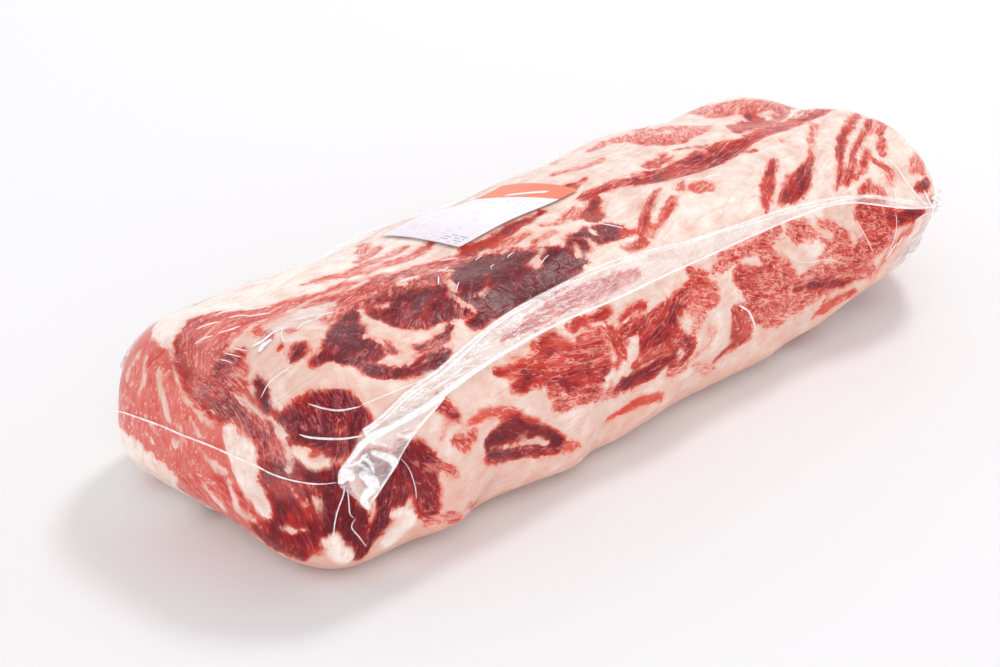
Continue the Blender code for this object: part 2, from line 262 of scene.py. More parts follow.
# ---------------------------------------------------------------- where lean and fat lie
# A lean stroke is ("lean", tone, threads, grain, stretch, points): tone runs from coral 0 to
# burgundy 1, threads is how much fat runs through it, grain is the turn of its fibres in degrees
# from the first chart axis to the second, and stretch is how long the threads are. A fat stroke
# is ("fat", blush, points). A point is (way, round, radius) in cm, cm and mm, or on an end face
# (across, up, radius). Later strokes lie over earlier ones.
LOWER_FRONT = (
    ("lean", .92, .45, 75, 2.5, ((6.6, 15.3, 7), (7.8, 15.4, 10), (8.8, 15.3, 9), (9.3, 14.6, 5))),
    ("lean", 1.0, .25, 85, 3, ((6.7, 14.2, 5), (6.8, 13.3, 5), (7.3, 12.4, 7), (7.6, 11.0, 8),
                               (8.2, 9.8, 9), (8.6, 8.8, 8))),
    ("lean", .95, .30, 80, 3, ((9.3, 12.6, 8), (9.8, 11.2, 7), (9.9, 10.2, 6), (9.4, 9.3, 5))),
    ("lean", .95, .30, 80, 3, ((10.3, 12.2, 6), (10.6, 11.0, 4), (10.4, 10.0, 3))),
    ("lean", .84, .35, -62, 3, ((10.7, 12.9, 5), (11.3, 12.2, 8), (11.6, 11.2, 8), (11.9, 10.2, 7),
                                (12.2, 9.2, 5))),
    ("lean", .60, .60, -40, 3, ((12.0, 11.8, 3), (12.7, 11.4, 2.5), (13.2, 10.8, 1.5))),
    ("lean", .84, .22, -70, 3, ((4.9, 12.6, 7), (5.4, 11.6, 9), (5.8, 10.4, 11), (6.1, 9.2, 11),
                                (5.3, 8.4, 8))),
    ("fat", .30, ((6.15, 16.6, 2.5), (6.0, 15.8, 2.5), (6.15, 14.9, 2))),
    ("lean", .92, .35, 60, 3, ((7.4, 14.0, 5), (8.2, 13.8, 6), (8.9, 14.3, 4))),
    ("fat", .25, ((6.35, 13.9, 3), (6.8, 13.5, 4), (7.3, 13.2, 2.5))),
    ("warm", .60, ((6.2, 14.5, 1.5), (6.5, 14.2, 1), (7.1, 13.7, 2), (7.5, 13.6, 1))),
    ("lean", .55, .30, 0, 2, ((6.9, 13.6, 1.5), (7.2, 13.7, 1.5))),
    ("fat", .10, ((7.4, 9.0, 4), (8.0, 8.3, 4))),
    ("fat", .10, ((10.5, 10.0, 4), (10.9, 9.2, 6), (10.4, 8.5, 6))),
    ("fat", .30, ((5.5, 12.3, .3), (6.0, 11.6, .4), (6.3, 11.0, .3))),
    ("fat", .30, ((6.6, 12.0, .4), (6.75, 11.2, .8), (6.9, 10.4, .5))),
    ("fat", .30, ((5.3, 8.9, .5), (5.8, 9.2, .6), (6.3, 9.5, .4))),
    ("lean", .75, .35, -50, 2, ((13.1, 14.0, 4), (13.5, 13.5, 3.5), (13.8, 13.2, 2))),
    ("lean", .60, .55, -50, 2, ((13.4, 12.4, 3), (13.9, 12.0, 3.5), (14.3, 12.3, 3))),
    ("lean", .40, .55, -5, 3, ((12.6, 12.7, .8), (12.9, 13.0, 1))),
    ("lean", .45, .40, -5, 3, ((14.2, 12.75, 1), (14.9, 12.8, 2), (15.4, 12.8, 2))),
    ("lean", .50, .65, -20, 3, ((12.1, 8.8, 2), (12.9, 8.8, 3), (13.8, 8.3, 2))),
    ("lean", .45, .60, -45, 3, ((14.2, 8.8, 1.5), (14.8, 8.3, 2))),
    # the large red field
    ("lean", .66, .30, -15, 3, ((16.4, 14.4, 2), (17.2, 14.1, 3), (18.2, 13.9, 5), (19.2, 14.3, 7),
                                (20.2, 14.3, 8))),
    ("lean", .68, .32, -14, 3, ((17.1, 13.4, 3), (18.4, 13.4, 5), (19.6, 13.3, 9))),
    ("lean", .58, .36, -14, 3, ((19.8, 13.2, 9), (21.0, 13.3, 10), (22.2, 13.2, 11), (22.8, 12.6, 8))),
    ("lean", .70, .35, -14, 3, ((18.9, 12.6, 4), (20.2, 12.4, 6), (21.2, 12.3, 6), (22.4, 12.2, 6))),
    ("lean", .60, .50, -20, 2, ((19.2, 11.9, 3), (20.3, 11.5, 3), (21.3, 11.5, 4.5), (22.2, 11.2, 3),
                                (23.2, 10.8, 3))),
    ("lean", .34, .40, -10, 2, ((17.4, 14.6, 1.5), (18.2, 14.4, 2), (18.8, 14.7, 1.5))),
    ("lean", .60, .35, -5, 2, ((21.2, 14.6, 3), (22.2, 14.7, 3), (23.4, 14.6, 3))),
    ("lean", .55, .40, 5, 3, ((17.5, 15.4, 2), (20.0, 15.7, 4), (22.5, 15.9, 5), (24.5, 15.7, 4),
                              (26.0, 15.6, 2))),
    ("lean", .62, .35, -60, 2, ((23.2, 13.7, 4), (23.7, 12.9, 4), (24.0, 12.2, 2))),
    ("lean", .72, .30, 0, 2, ((24.0, 14.1, 2), (24.8, 14.25, 2.5), (25.4, 14.1, 2))),
    ("lean", .66, .42, 8, 2, ((23.9, 13.5, 4), (25.0, 13.4, 5), (26.0, 13.4, 5), (27.0, 13.6, 5),
                              (28.2, 13.8, 5), (29.3, 13.9, 6))),
    ("lean", .74, .25, 35, 2, ((24.9, 12.3, 4), (25.6, 12.6, 9), (26.5, 12.4, 8), (26.9, 13.2, 5))),
    ("lean", .62, .45, 20, 2, ((24.3, 11.7, 2.5), (25.8, 11.8, 4), (27.0, 11.9, 5), (27.7, 11.4, 4))),
    ("lean", .84, .25, 8, 2, ((23.4, 11.0, 3.5), (24.6, 10.95, 5), (25.7, 11.1, 5), (26.6, 11.2, 3.5))),
    ("lean", .78, .35, 20, 2, ((26.6, 10.8, 3.5), (27.3, 10.7, 3), (27.8, 11.3, 3), (27.5, 12.0, 2.5))),
    ("lean", .30, .50, 0, 2, ((26.5, 10.4, 1), (27.2, 10.3, 1.5), (27.9, 10.6, 1))),
    ("lean", .58, .65, -30, 2, ((27.8, 13.0, 3), (28.6, 12.6, 3), (27.8, 12.2, 2))),
    ("lean", .52, .48, -30, 2, ((28.9, 14.4, 4), (29.6, 13.4, 5), (29.4, 12.8, 3), (28.5, 13.3, 3))),
    ("lean", .50, .50, 0, 2, ((27.8, 10.8, 1.5), (28.9, 10.9, 1.5))),
    ("lean", .50, .60, -60, 2, ((29.0, 11.8, 1.5), (29.4, 11.4, 2))),
    ("fat", .25, ((17.3, 14.75, 2.5), (18.3, 14.6, 3))),
    ("fat", .20, ((20.6, 14.8, 2.5), (20.9, 14.2, 1.5))),
    ("fat", .30, ((22.95, 13.4, 1), (23.1, 12.5, 1.2))),
    ("fat", .20, ((24.0, 12.4, 3), (24.4, 12.9, 2))),
    ("fat", .25, ((22.6, 11.6, 2.5), (22.9, 11.9, 2))),
    ("fat", .25, ((19.5, 12.3, 1.2), (19.8, 12.0, 1.2))),
    ("fat", .30, ((27.2, 12.8, 2), (27.6, 12.2, 1.5))),
    # the feather
    ("lean", .42, .35, -30, 3, ((14.3, 12.85, 1.5), (15.4, 12.8, 2.5), (16.3, 12.5, 3.5),
                                (16.9, 12.1, 3))),
    ("lean", .80, .60, -32, 4, ((15.5, 10.9, 6), (16.8, 10.7, 8), (18.0, 10.3, 6), (19.2, 9.8, 5),
                                (20.2, 9.3, 3))),
    ("lean", .94, .25, -32, 4, ((15.3, 11.5, 5), (16.4, 11.7, 6), (17.6, 11.2, 5), (18.6, 10.6, 4.5),
                                (19.5, 9.9, 3))),
    ("lean", .84, .30, -25, 4, ((15.2, 10.9, 2), (15.9, 10.3, 2.5), (17.0, 10.05, 2), (18.2, 9.8, 1.5),
                                (19.4, 9.4, 1.5))),
    ("lean", .25, .20, -25, 2, ((20.1, 9.35, 2.5), (20.7, 9.1, 1.5))),
    ("fat", .60, ((16.2, 10.95, .7), (17.5, 10.6, .9), (18.8, 10.05, .7))),
    ("fat", .60, ((15.3, 11.15, .6), (16.3, 11.1, .7), (17.4, 10.95, .5))),
    ("lean", .34, .20, 0, 3, ((22.9, 9.4, 1.5), (24.4, 9.6, 2.6), (25.4, 9.55, 2.4), (26.4, 9.2, 1))),
    ("lean", .10, .60, -20, 3, ((28.2, 10.3, 2), (28.9, 9.8, 3), (29.4, 9.3, 2.5), (30.0, 9.1, 1.5))),
    ("warm", .80, ((22.9, 9.4, 2), (24.4, 9.6, 3), (26.4, 9.2, 2))),
    ("warm", .60, ((14.5, 12.8, 2), (15.6, 12.7, 2), (16.6, 12.4, 2))),
    ("warm", .60, ((19.9, 9.4, 2), (20.7, 9.1, 2))),
    ("warm", .50, ((17.4, 14.6, 2), (18.2, 14.4, 2), (18.8, 14.7, 2))),
    ("warm", .35, ((19.0, 13.6, 2), (20.4, 13.9, 3), (22.0, 14.2, 4), (23.4, 14.6, 3))),
    ("warm", .35, ((22.0, 13.0, 3), (23.6, 13.2, 3), (23.0, 14.0, 2))),
    ("warm", .35, ((28.2, 14.0, 3), (29.4, 14.0, 4), (29.0, 14.6, 3))),
    ("warm", .45, ((26.6, 10.4, 2), (27.6, 10.4, 2))),
    ("warm", .35, ((31.2, 11.4, 4), (31.6, 10.6, 4))),
    # Painted bounce light: an orange band along the shaded lower front edge, standing in for light thrown up
    # onto it.
    ("warm", .30, ((12.0, 8.0, 5), (18.0, 7.4, 5), (23.0, 7.8, 5), (29.0, 8.2, 6), (36.0, 8.0, 5),
                   (42.0, 8.6, 5))),
    ("warm", .30, ((5.9, 16.4, 2), (6.4, 16.1, 2), (9.3, 16.4, 2))),
)
UPPER_FRONT = (
    ("lean", .95, .30, 10, 3, ((11.0, 16.5, 5), (11.8, 15.9, 4), (12.9, 15.7, 4), (14.2, 15.9, 5),
                               (15.0, 16.0, 4))),
    # the muscle that rolls over the near top edge
    ("lean", .64, .30, 80, 3, ((4.9, 20.6, 8), (5.5, 21.4, 10), (6.3, 22.4, 12), (7.2, 23.2, 13),
                               (8.2, 23.6, 12))),
    ("lean", .50, .35, 30, 3, ((7.2, 22.2, 9), (8.2, 23.2, 12), (9.0, 23.8, 10))),
    ("lean", .40, .35, 5, 3, ((8.6, 22.9, 11), (9.8, 22.9, 9), (11.3, 22.6, 6.5), (13.0, 22.3, 4),
                              (15.0, 21.95, 2), (16.8, 21.6, 1.2))),
    ("lean", .74, .40, 85, 3, ((6.4, 20.4, 6), (7.1, 20.6, 7), (7.6, 20.6, 5))),
    ("lean", .66, .40, 85, 3, ((5.2, 20.0, 7), (5.3, 18.8, 6))),
    ("lean", .75, .50, 80, 3, ((4.9, 18.6, 7), (5.1, 17.2, 7), (5.3, 15.6, 6), (5.4, 14.0, 5))),
    ("fat", .55, ((8.8, 21.4, 1), (10.5, 21.6, 2), (13.0, 22.1, 1), (15.0, 21.9, .8))),
    ("lean", .45, .30, 10, 3, ((9.2, 21.1, 2), (9.9, 21.6, 1.2), (11.4, 21.9, 1), (13.0, 22.0, .8))),
    ("lean", .60, .25, -10, 3, ((12.3, 21.8, 1.5), (13.3, 21.7, 2.5), (14.4, 21.4, 3), (15.3, 21.2, 2))),
    ("lean", .45, .45, 50, 2, ((9.2, 20.4, 2.5), (9.6, 20.9, 1.5))),
    ("lean", .45, .45, 0, 2, ((10.1, 20.2, 2), (10.4, 20.2, 1.5))),
    ("fat", .35, ((6.3, 19.6, 1), (5.95, 18.6, 1.5), (5.85, 17.6, 1.5), (5.85, 16.8, 1.5),
                  (6.0, 16.2, 2))),
    ("lean", .55, .40, 80, 3, ((6.5, 19.7, 3), (6.4, 18.9, 3), (6.15, 17.9, 1.5))),
    ("lean", .45, .50, 80, 3, ((7.2, 19.9, 2), (7.1, 19.4, 2))),
    ("lean", 1.0, .20, 75, 3, ((7.3, 18.8, 1.5), (6.95, 18.1, 3.5), (6.5, 17.3, 4), (6.35, 16.8, 3))),
    ("lean", .60, .40, 85, 3, ((6.25, 18.2, 1), (6.15, 17.3, 1.2))),
    ("lean", .90, .40, 35, 3, ((9.8, 19.0, 2.5), (9.3, 18.6, 4.5), (8.7, 18.3, 2))),
    ("lean", .70, .30, 35, 3, ((9.2, 19.5, 1.2), (8.8, 19.3, 1.2))),
    ("lean", .97, .25, 38, 3, ((9.4, 17.6, 3), (10.4, 17.9, 5), (11.3, 18.3, 8), (12.1, 18.9, 8),
                               (12.8, 19.6, 6), (13.4, 20.2, 4))),
    ("lean", .97, .25, 30, 3, ((10.6, 17.4, 6), (11.6, 17.3, 8), (12.1, 17.6, 6))),
    ("lean", .55, .60, 38, 3, ((12.2, 20.2, 3), (13.0, 20.6, 4), (13.9, 20.8, 4))),
    ("lean", .95, .30, 30, 3, ((10.9, 16.9, 4), (11.7, 16.8, 3))),
    ("lean", .80, .55, 60, 2, ((12.8, 16.9, 3), (13.0, 17.5, 1.5))),
    # the two dark muscles and the sinew between them
    ("lean", .70, .45, 38, 3, ((14.2, 20.4, 5), (15.6, 20.2, 7), (17.3, 19.6, 9), (18.4, 20.0, 8),
                               (20.6, 20.4, 7), (22.2, 19.8, 7))),
    ("lean", .85, .40, 20, 3, ((17.2, 17.4, 4), (19.0, 17.1, 5), (21.5, 17.1, 5), (23.8, 17.2, 4))),
    ("lean", .90, .28, 38, 3, ((14.2, 19.4, 5), (14.8, 18.4, 8), (15.7, 18.6, 13), (16.4, 18.6, 12),
                               (16.7, 17.8, 7))),
    ("lean", .80, .45, 10, 2, ((14.0, 16.7, 3), (15.0, 16.6, 3.5), (16.0, 17.0, 2))),
    ("lean", 1.0, .22, 38, 4, ((18.2, 17.8, 8), (19.1, 18.7, 11), (20.2, 19.1, 12), (21.2, 19.1, 11),
                               (22.2, 18.6, 10), (23.2, 18.0, 9), (24.0, 17.7, 6))),
    ("lean", 1.0, .22, 20, 4, ((18.6, 17.5, 5), (20.5, 17.7, 9), (22.4, 17.6, 8), (24.0, 17.4, 5))),
    ("lean", .90, .35, 30, 3, ((19.3, 20.2, 4), (20.3, 20.5, 4), (21.4, 20.2, 4))),
    ("lean", 1.0, .15, 3, 4, ((17.0, 16.6, 3.5), (18.5, 16.65, 4), (20.0, 16.75, 3.5), (22.0, 16.85, 3.5),
                              (23.6, 17.0, 3))),
    ("lean", .55, .60, 15, 3, ((22.9, 19.2, 2), (23.8, 19.5, 3), (24.8, 19.6, 2))),
    ("fat", .60, ((17.5, 17.2, .8), (17.3, 17.9, 1), (17.35, 18.5, .8), (17.9, 19.1, .6),
                  (18.6, 19.8, .6), (19.3, 20.4, .8))),
    ("fat", .60, ((18.2, 17.7, .4), (19.0, 18.0, .6), (19.8, 18.7, .6))),
    ("warm", .50, ((17.1, 19.2, 2), (17.5, 19.5, 2))),
    ("warm", .70, ((21.4, 21.5, 3), (22.2, 21.3, 4), (23.2, 20.6, 4), (24.0, 20.5, 4))),
    ("fat", .45, ((22.3, 20.1, 1), (22.6, 20.4, 1.2), (22.5, 20.8, .8))),
    ("fat", .50, ((22.0, 18.1, 2), (22.8, 18.6, 1.8), (23.9, 19.2, 1.5))),
    ("fat", .30, ((17.5, 16.2, 1), (18.5, 16.2, .6))),
    # the ragged band over them
    ("lean", .62, .50, 10, 2, ((13.7, 21.1, 3), (15.5, 21.1, 5), (17.0, 21.2, 4), (18.6, 21.1, 5.5),
                               (20.0, 21.1, 5), (21.2, 21.2, 5))),
    ("lean", .65, .40, 40, 2, ((17.4, 19.9, 3), (17.9, 20.3, 3))),
    ("fat", .40, ((16.6, 20.4, 2), (16.9, 20.9, 1.5))),
    ("fat", .30, ((18.9, 20.6, 2), (19.1, 20.3, 1.5))),
    ("lean", .42, .50, 20, 2, ((22.3, 20.7, 2.5), (23.2, 20.5, 3.5), (24.0, 20.5, 2.5))),
    ("lean", .72, .20, 0, 2, ((21.4, 21.4, 4), (22.4, 21.3, 5), (23.4, 21.3, 4.5), (24.4, 21.4, 4),
                              (25.4, 21.5, 3), (26.3, 21.7, 2))),
    ("lean", .36, .50, -35, 3, ((13.9, 23.7, 2), (15.0, 23.1, 3), (16.2, 22.4, 3))),
    ("lean", .36, .50, 10, 3, ((15.8, 22.9, 2.5), (16.6, 23.0, 3), (18.0, 23.5, 3), (20.0, 24.0, 2))),
    ("lean", .38, .50, 10, 3, ((16.2, 22.4, 2.5), (18.0, 22.6, 3), (19.6, 22.9, 3), (21.0, 23.4, 2))),
    ("lean", .38, .45, 35, 3, ((17.0, 23.7, 1.5), (18.2, 24.5, 3), (19.5, 25.2, 3))),
    ("lean", .38, .45, 45, 3, ((18.6, 25.2, 2.5), (19.6, 26.3, 3))),
    # from the label to the far end
    ("lean", .90, .32, 45, 2, ((24.4, 17.9, 5), (25.2, 18.3, 7), (26.3, 18.3, 8), (27.2, 18.2, 7),
                               (27.7, 17.9, 4))),
    ("lean", .48, .20, 20, 2, ((27.5, 17.8, 3), (28.2, 17.7, 2.5))),
    ("fat", .55, ((25.4, 17.7, 2), (25.45, 18.3, 1))),
    ("fat", .55, ((24.2, 17.6, 1.5), (24.6, 18.0, .8))),
    ("fat", .05, ((26.5, 19.1, .8), (26.1, 18.4, .8))),
    ("lean", .58, .35, 35, 3, ((26.7, 16.9, 2), (27.8, 16.9, 2.5), (28.6, 17.6, 2), (29.6, 18.3, 2.5),
                               (30.6, 19.0, 2.5), (31.6, 19.5, 1.5))),
    ("lean", .50, .35, 25, 3, ((28.5, 17.0, 1.5), (30.0, 17.7, 2.2), (31.6, 18.4, 1.5))),
    ("lean", .80, .20, 45, 2, ((27.3, 19.5, 4), (27.7, 19.9, 6), (28.3, 20.4, 3.5), (29.2, 20.9, 3))),
    ("lean", .34, .40, 30, 3, ((25.2, 20.4, 2), (26.0, 20.3, 2), (27.6, 20.9, 1.5))),
    ("lean", .34, .40, 30, 3, ((26.6, 20.0, 1), (27.8, 20.6, 1))),
    ("lean", .75, .45, 0, 2, ((28.8, 22.5, 4), (29.2, 22.5, 3.5))),
    ("lean", .30, .40, 0, 2, ((29.6, 22.4, 1.5), (30.1, 22.4, 1.2))),
    ("warm", .75, ((27.5, 17.8, 3), (28.2, 17.7, 2.5))),
    ("warm", .45, ((27.4, 19.6, 3), (28.0, 20.0, 3))),
    ("warm", .55, ((25.2, 20.4, 2), (26.0, 20.3, 3), (27.6, 20.9, 2))),
    ("warm", .50, ((27.0, 16.9, 2), (28.5, 17.0, 2), (30.0, 17.7, 2.2), (31.6, 18.4, 1.5))),
    ("warm", .60, ((29.6, 22.4, 2), (30.1, 22.4, 1.5))),
    ("lean", .70, .38, 4, 3, ((28.6, 21.4, 2.5), (30.2, 21.25, 3), (31.6, 20.95, 4), (33.0, 20.75, 6),
                              (34.6, 20.7, 7), (36.4, 20.65, 8), (37.8, 20.55, 8), (39.2, 20.3, 4))),
    ("lean", .58, .30, 4, 3, ((39.0, 20.3, 4), (40.4, 20.5, 5), (42.0, 20.6, 5), (43.6, 20.8, 5),
                              (45.2, 20.8, 4.5), (46.6, 21.1, 4), (47.8, 21.4, 3))),
    ("lean", .60, .45, 15, 3, ((33.4, 21.7, 2.5), (34.4, 21.8, 3.5), (35.2, 22.1, 3.5))),
    ("fat", .05, ((36.1, 22.3, 1.5), (36.7, 21.8, 2.5), (37.1, 21.3, 1.5))),
    ("lean", .66, .35, -30, 3, ((36.0, 22.3, .8), (36.8, 21.9, 1.2), (37.6, 21.4, 1))),
    ("lean", .30, .50, 10, 3, ((29.8, 24.2, 2.5), (31.0, 23.7, 3), (32.0, 23.7, 3), (33.0, 24.1, 2))),
    ("lean", .34, .50, 50, 2, ((34.2, 26.1, 2), (35.4, 26.1, 4), (36.2, 25.2, 6), (36.6, 24.0, 8),
                               (37.2, 23.2, 6), (38.6, 23.1, 6), (39.8, 23.6, 4))),
    ("lean", .50, .40, 50, 2, ((36.2, 24.0, 4), (36.6, 23.2, 4), (37.0, 22.7, 3))),
    ("lean", .40, .55, 50, 2, ((37.2, 25.2, 5), (38.2, 24.5, 5), (38.8, 23.6, 4))),
    ("lean", .38, .40, 45, 4, ((36.8, 25.2, 3), (38.2, 26.3, 3), (39.6, 27.6, 3))),
    ("lean", .30, .50, 45, 4, ((31.6, 25.8, 1.5), (33.0, 27.6, 2.5))),
    # the smooth muscle of the far end and what lies round it
    ("lean", .54, .12, 42, 5, ((39.8, 21.4, 3), (41.0, 22.2, 7), (42.2, 22.6, 9), (42.9, 23.2, 7))),
    ("lean", .50, .15, 42, 5, ((40.4, 21.3, 2), (42.0, 21.6, 5), (43.2, 22.2, 5), (43.6, 23.0, 3))),
    ("lean", .66, .15, 60, 3, ((43.8, 23.6, 5), (44.1, 24.3, 5), (44.6, 24.4, 3))),
    ("lean", .44, .50, 25, 3, ((42.6, 25.5, 5), (43.8, 25.6, 9), (45.0, 25.2, 9), (46.6, 24.4, 8))),
    ("lean", .40, .50, 45, 3, ((43.0, 26.4, 6), (43.6, 27.4, 7))),
    ("lean", .52, .45, 45, 4, ((43.4, 21.9, 3), (44.8, 22.8, 6), (46.0, 23.6, 5), (47.0, 24.0, 4))),
    ("lean", .50, .45, 40, 4, ((44.4, 21.3, 3), (45.6, 21.9, 4), (47.2, 23.0, 4))),
    ("lean", .55, .30, 30, 4, ((45.6, 20.9, 3), (46.8, 21.4, 4), (47.8, 22.0, 4))),
    ("fat", .05, ((44.2, 21.6, 1.5), (45.2, 22.3, 2.5), (46.6, 23.0, 2.5), (47.6, 23.6, 2))),
    # rib finger stripes
    ("lean", .62, .30, 40, 4, ((34.8, 15.4, 1.5), (35.6, 16.1, 3), (36.6, 16.9, 3), (37.6, 17.5, 2.5),
                               (38.6, 18.1, 1.2))),
    ("lean", .74, .35, 30, 4, ((36.2, 15.5, 2), (37.3, 15.8, 5), (38.6, 16.3, 6), (39.6, 16.8, 3),
                               (40.6, 17.3, 1.2))),
    ("lean", .66, .30, 38, 4, ((40.0, 15.1, 1.5), (41.2, 16.0, 2.5), (42.2, 16.9, 2.5),
                               (43.6, 17.9, 2.8), (45.2, 18.7, 2.5), (47.4, 19.5, 2))),
    ("lean", .70, .30, 32, 4, ((40.8, 15.2, 2), (42.2, 16.1, 2), (43.4, 16.9, 2), (45.4, 17.8, 2),
                               (47.4, 18.6, 2))),
    ("lean", .60, .35, 35, 4, ((41.6, 15.2, 1.5), (43.0, 15.9, 2), (44.2, 16.6, 1.5))),
    ("lean", .55, .40, 20, 3, ((44.6, 16.0, 2), (45.4, 16.7, 2.5), (46.4, 17.4, 2), (47.4, 17.9, 2))),
    ("lean", .50, .45, 60, 2, ((43.7, 15.8, 2.5), (44.0, 15.0, 3), (43.4, 14.4, 2))),
    ("lean", .22, .40, 40, 4, ((40.6, 17.6, 1), (42.2, 18.8, 1.6), (43.8, 19.8, 1.2))),
    ("lean", .36, .35, 20, 2, ((33.0, 18.2, 4), (33.7, 18.3, 3), (33.4, 17.7, 1.5))),
    ("lean", .35, .35, 40, 3, ((32.3, 18.7, 1.5), (33.5, 19.6, 1.5))),
    ("lean", .35, .35, 40, 3, ((38.3, 19.5, 1.5), (38.6, 19.3, 1.2))),
    ("lean", .35, .35, 40, 3, ((40.3, 19.1, 1), (40.4, 19.2, 1))),
    ("warm", .70, ((33.0, 18.2, 4), (33.7, 18.3, 3))),
    ("warm", .50, ((32.3, 18.7, 1.5), (33.5, 19.6, 1.5))),
    ("warm", .50, ((38.3, 19.5, 1.5), (40.4, 19.2, 1.5))),
    ("warm", .40, ((39.2, 17.0, 2), (40.6, 17.4, 2), (42.2, 18.8, 2), (43.8, 19.8, 2))),
)
FAR_FRONT = (
    ("lean", .60, .35, -45, 2, ((31.1, 11.9, 3), (31.6, 11.2, 8), (31.7, 10.5, 7), (32.3, 10.3, 4))),
    ("lean", .74, .35, 10, 3, ((29.9, 9.6, 2), (30.6, 9.8, 2), (31.5, 9.9, 2.5), (32.6, 9.9, 2))),
    ("lean", .54, .60, -10, 1.3, ((30.2, 14.1, 2), (31.0, 14.2, 4), (32.0, 14.3, 4), (33.5, 14.3, 4),
                                  (35.0, 14.4, 3))),
    ("lean", .54, .48, -20, 1.5, ((31.6, 13.3, 5), (32.6, 12.6, 9), (33.2, 11.2, 9), (34.3, 10.7, 9),
                                  (35.0, 11.4, 8), (34.3, 12.6, 8), (33.6, 13.7, 5))),
    ("lean", .52, .58, -20, 1.5, ((35.9, 11.0, 9), (37.4, 11.4, 9), (38.6, 11.8, 9), (38.9, 13.0, 6),
                                  (37.2, 13.8, 5), (36.0, 14.1, 6))),
    ("lean", .56, .48, -20, 1.5, ((38.9, 11.6, 9), (40.2, 11.2, 9), (41.2, 12.0, 9), (41.0, 13.2, 9),
                                  (42.0, 13.0, 8), (42.0, 12.0, 6), (41.2, 14.0, 5))),
    ("lean", .56, .42, 60, 1.5, ((41.4, 14.5, 3), (42.2, 14.5, 4), (42.4, 13.9, 3))),
    ("lean", .50, .50, -14, 3, ((34.6, 10.0, 3), (37.0, 10.1, 4), (39.2, 10.4, 5), (41.0, 10.5, 5),
                                (41.9, 10.1, 3))),
    ("lean", .82, .20, -12, 3, ((35.5, 11.35, 1), (36.6, 11.15, 2), (37.5, 10.8, 2.2), (38.6, 10.5, 2.2),
                                (39.6, 10.25, 1.6), (40.4, 10.1, 1))),
    ("lean", .34, .25, -3, 3, ((37.6, 9.1, 1.5), (38.4, 9.3, 3), (39.4, 9.4, 3), (40.6, 9.35, 1.5))),
    ("lean", .76, .25, -12, 3, ((42.6, 12.8, 4), (43.4, 12.7, 4.5), (44.2, 12.6, 3.5), (44.9, 12.7, 2))),
    ("lean", .92, .10, -15, 3, ((43.7, 12.6, 1.5), (44.3, 12.6, 2), (45.0, 12.6, 1.5))),
    ("lean", .25, .40, 55, 2, ((42.0, 9.8, 1.5), (42.4, 10.9, 2), (43.1, 11.6, 2.5), (43.9, 12.0, 2))),
    ("fat", .45, ((38.7, 14.2, 3), (39.5, 13.8, 4.5), (40.0, 13.2, 3), (40.6, 12.5, 1))),
    ("fat", .50, ((35.2, 13.8, 3), (36.1, 12.9, 3))),
    ("fat", .50, ((37.4, 14.2, 1), (37.9, 13.5, 2.5), (38.4, 13.1, 1.5))),
    ("fat", .50, ((34.6, 13.0, .8), (36.4, 12.4, 1.2), (38.4, 11.9, 1))),
    ("fat", .50, ((36.7, 9.85, 1), (38.4, 9.95, 1.2), (40.5, 9.85, 1.2), (41.8, 9.6, 1))),
    ("lean", .80, .30, -15, 2, ((44.7, 13.6, 2.5), (45.4, 13.6, 3.5), (46.1, 13.7, 3))),
    ("lean", .44, .50, 20, 3, ((45.2, 14.4, 2), (46.2, 14.6, 4), (47.4, 14.8, 4))),
    ("lean", .70, .40, -20, 3, ((45.7, 12.9, 1.5), (46.5, 12.4, 2), (47.6, 12.1, 2))),
    ("warm", .65, ((37.8, 9.2, 2), (39.0, 9.4, 3), (40.6, 9.35, 2))),
    ("warm", .45, ((42.0, 9.6, 3), (42.6, 11.0, 3), (43.4, 11.7, 3), (44.2, 12.0, 2))),
    ("warm", .30, ((33.0, 14.3, 3), (34.6, 13.4, 3), (33.6, 11.8, 4))),
    ("warm", .30, ((38.9, 12.4, 3), (40.4, 11.8, 3))),
)
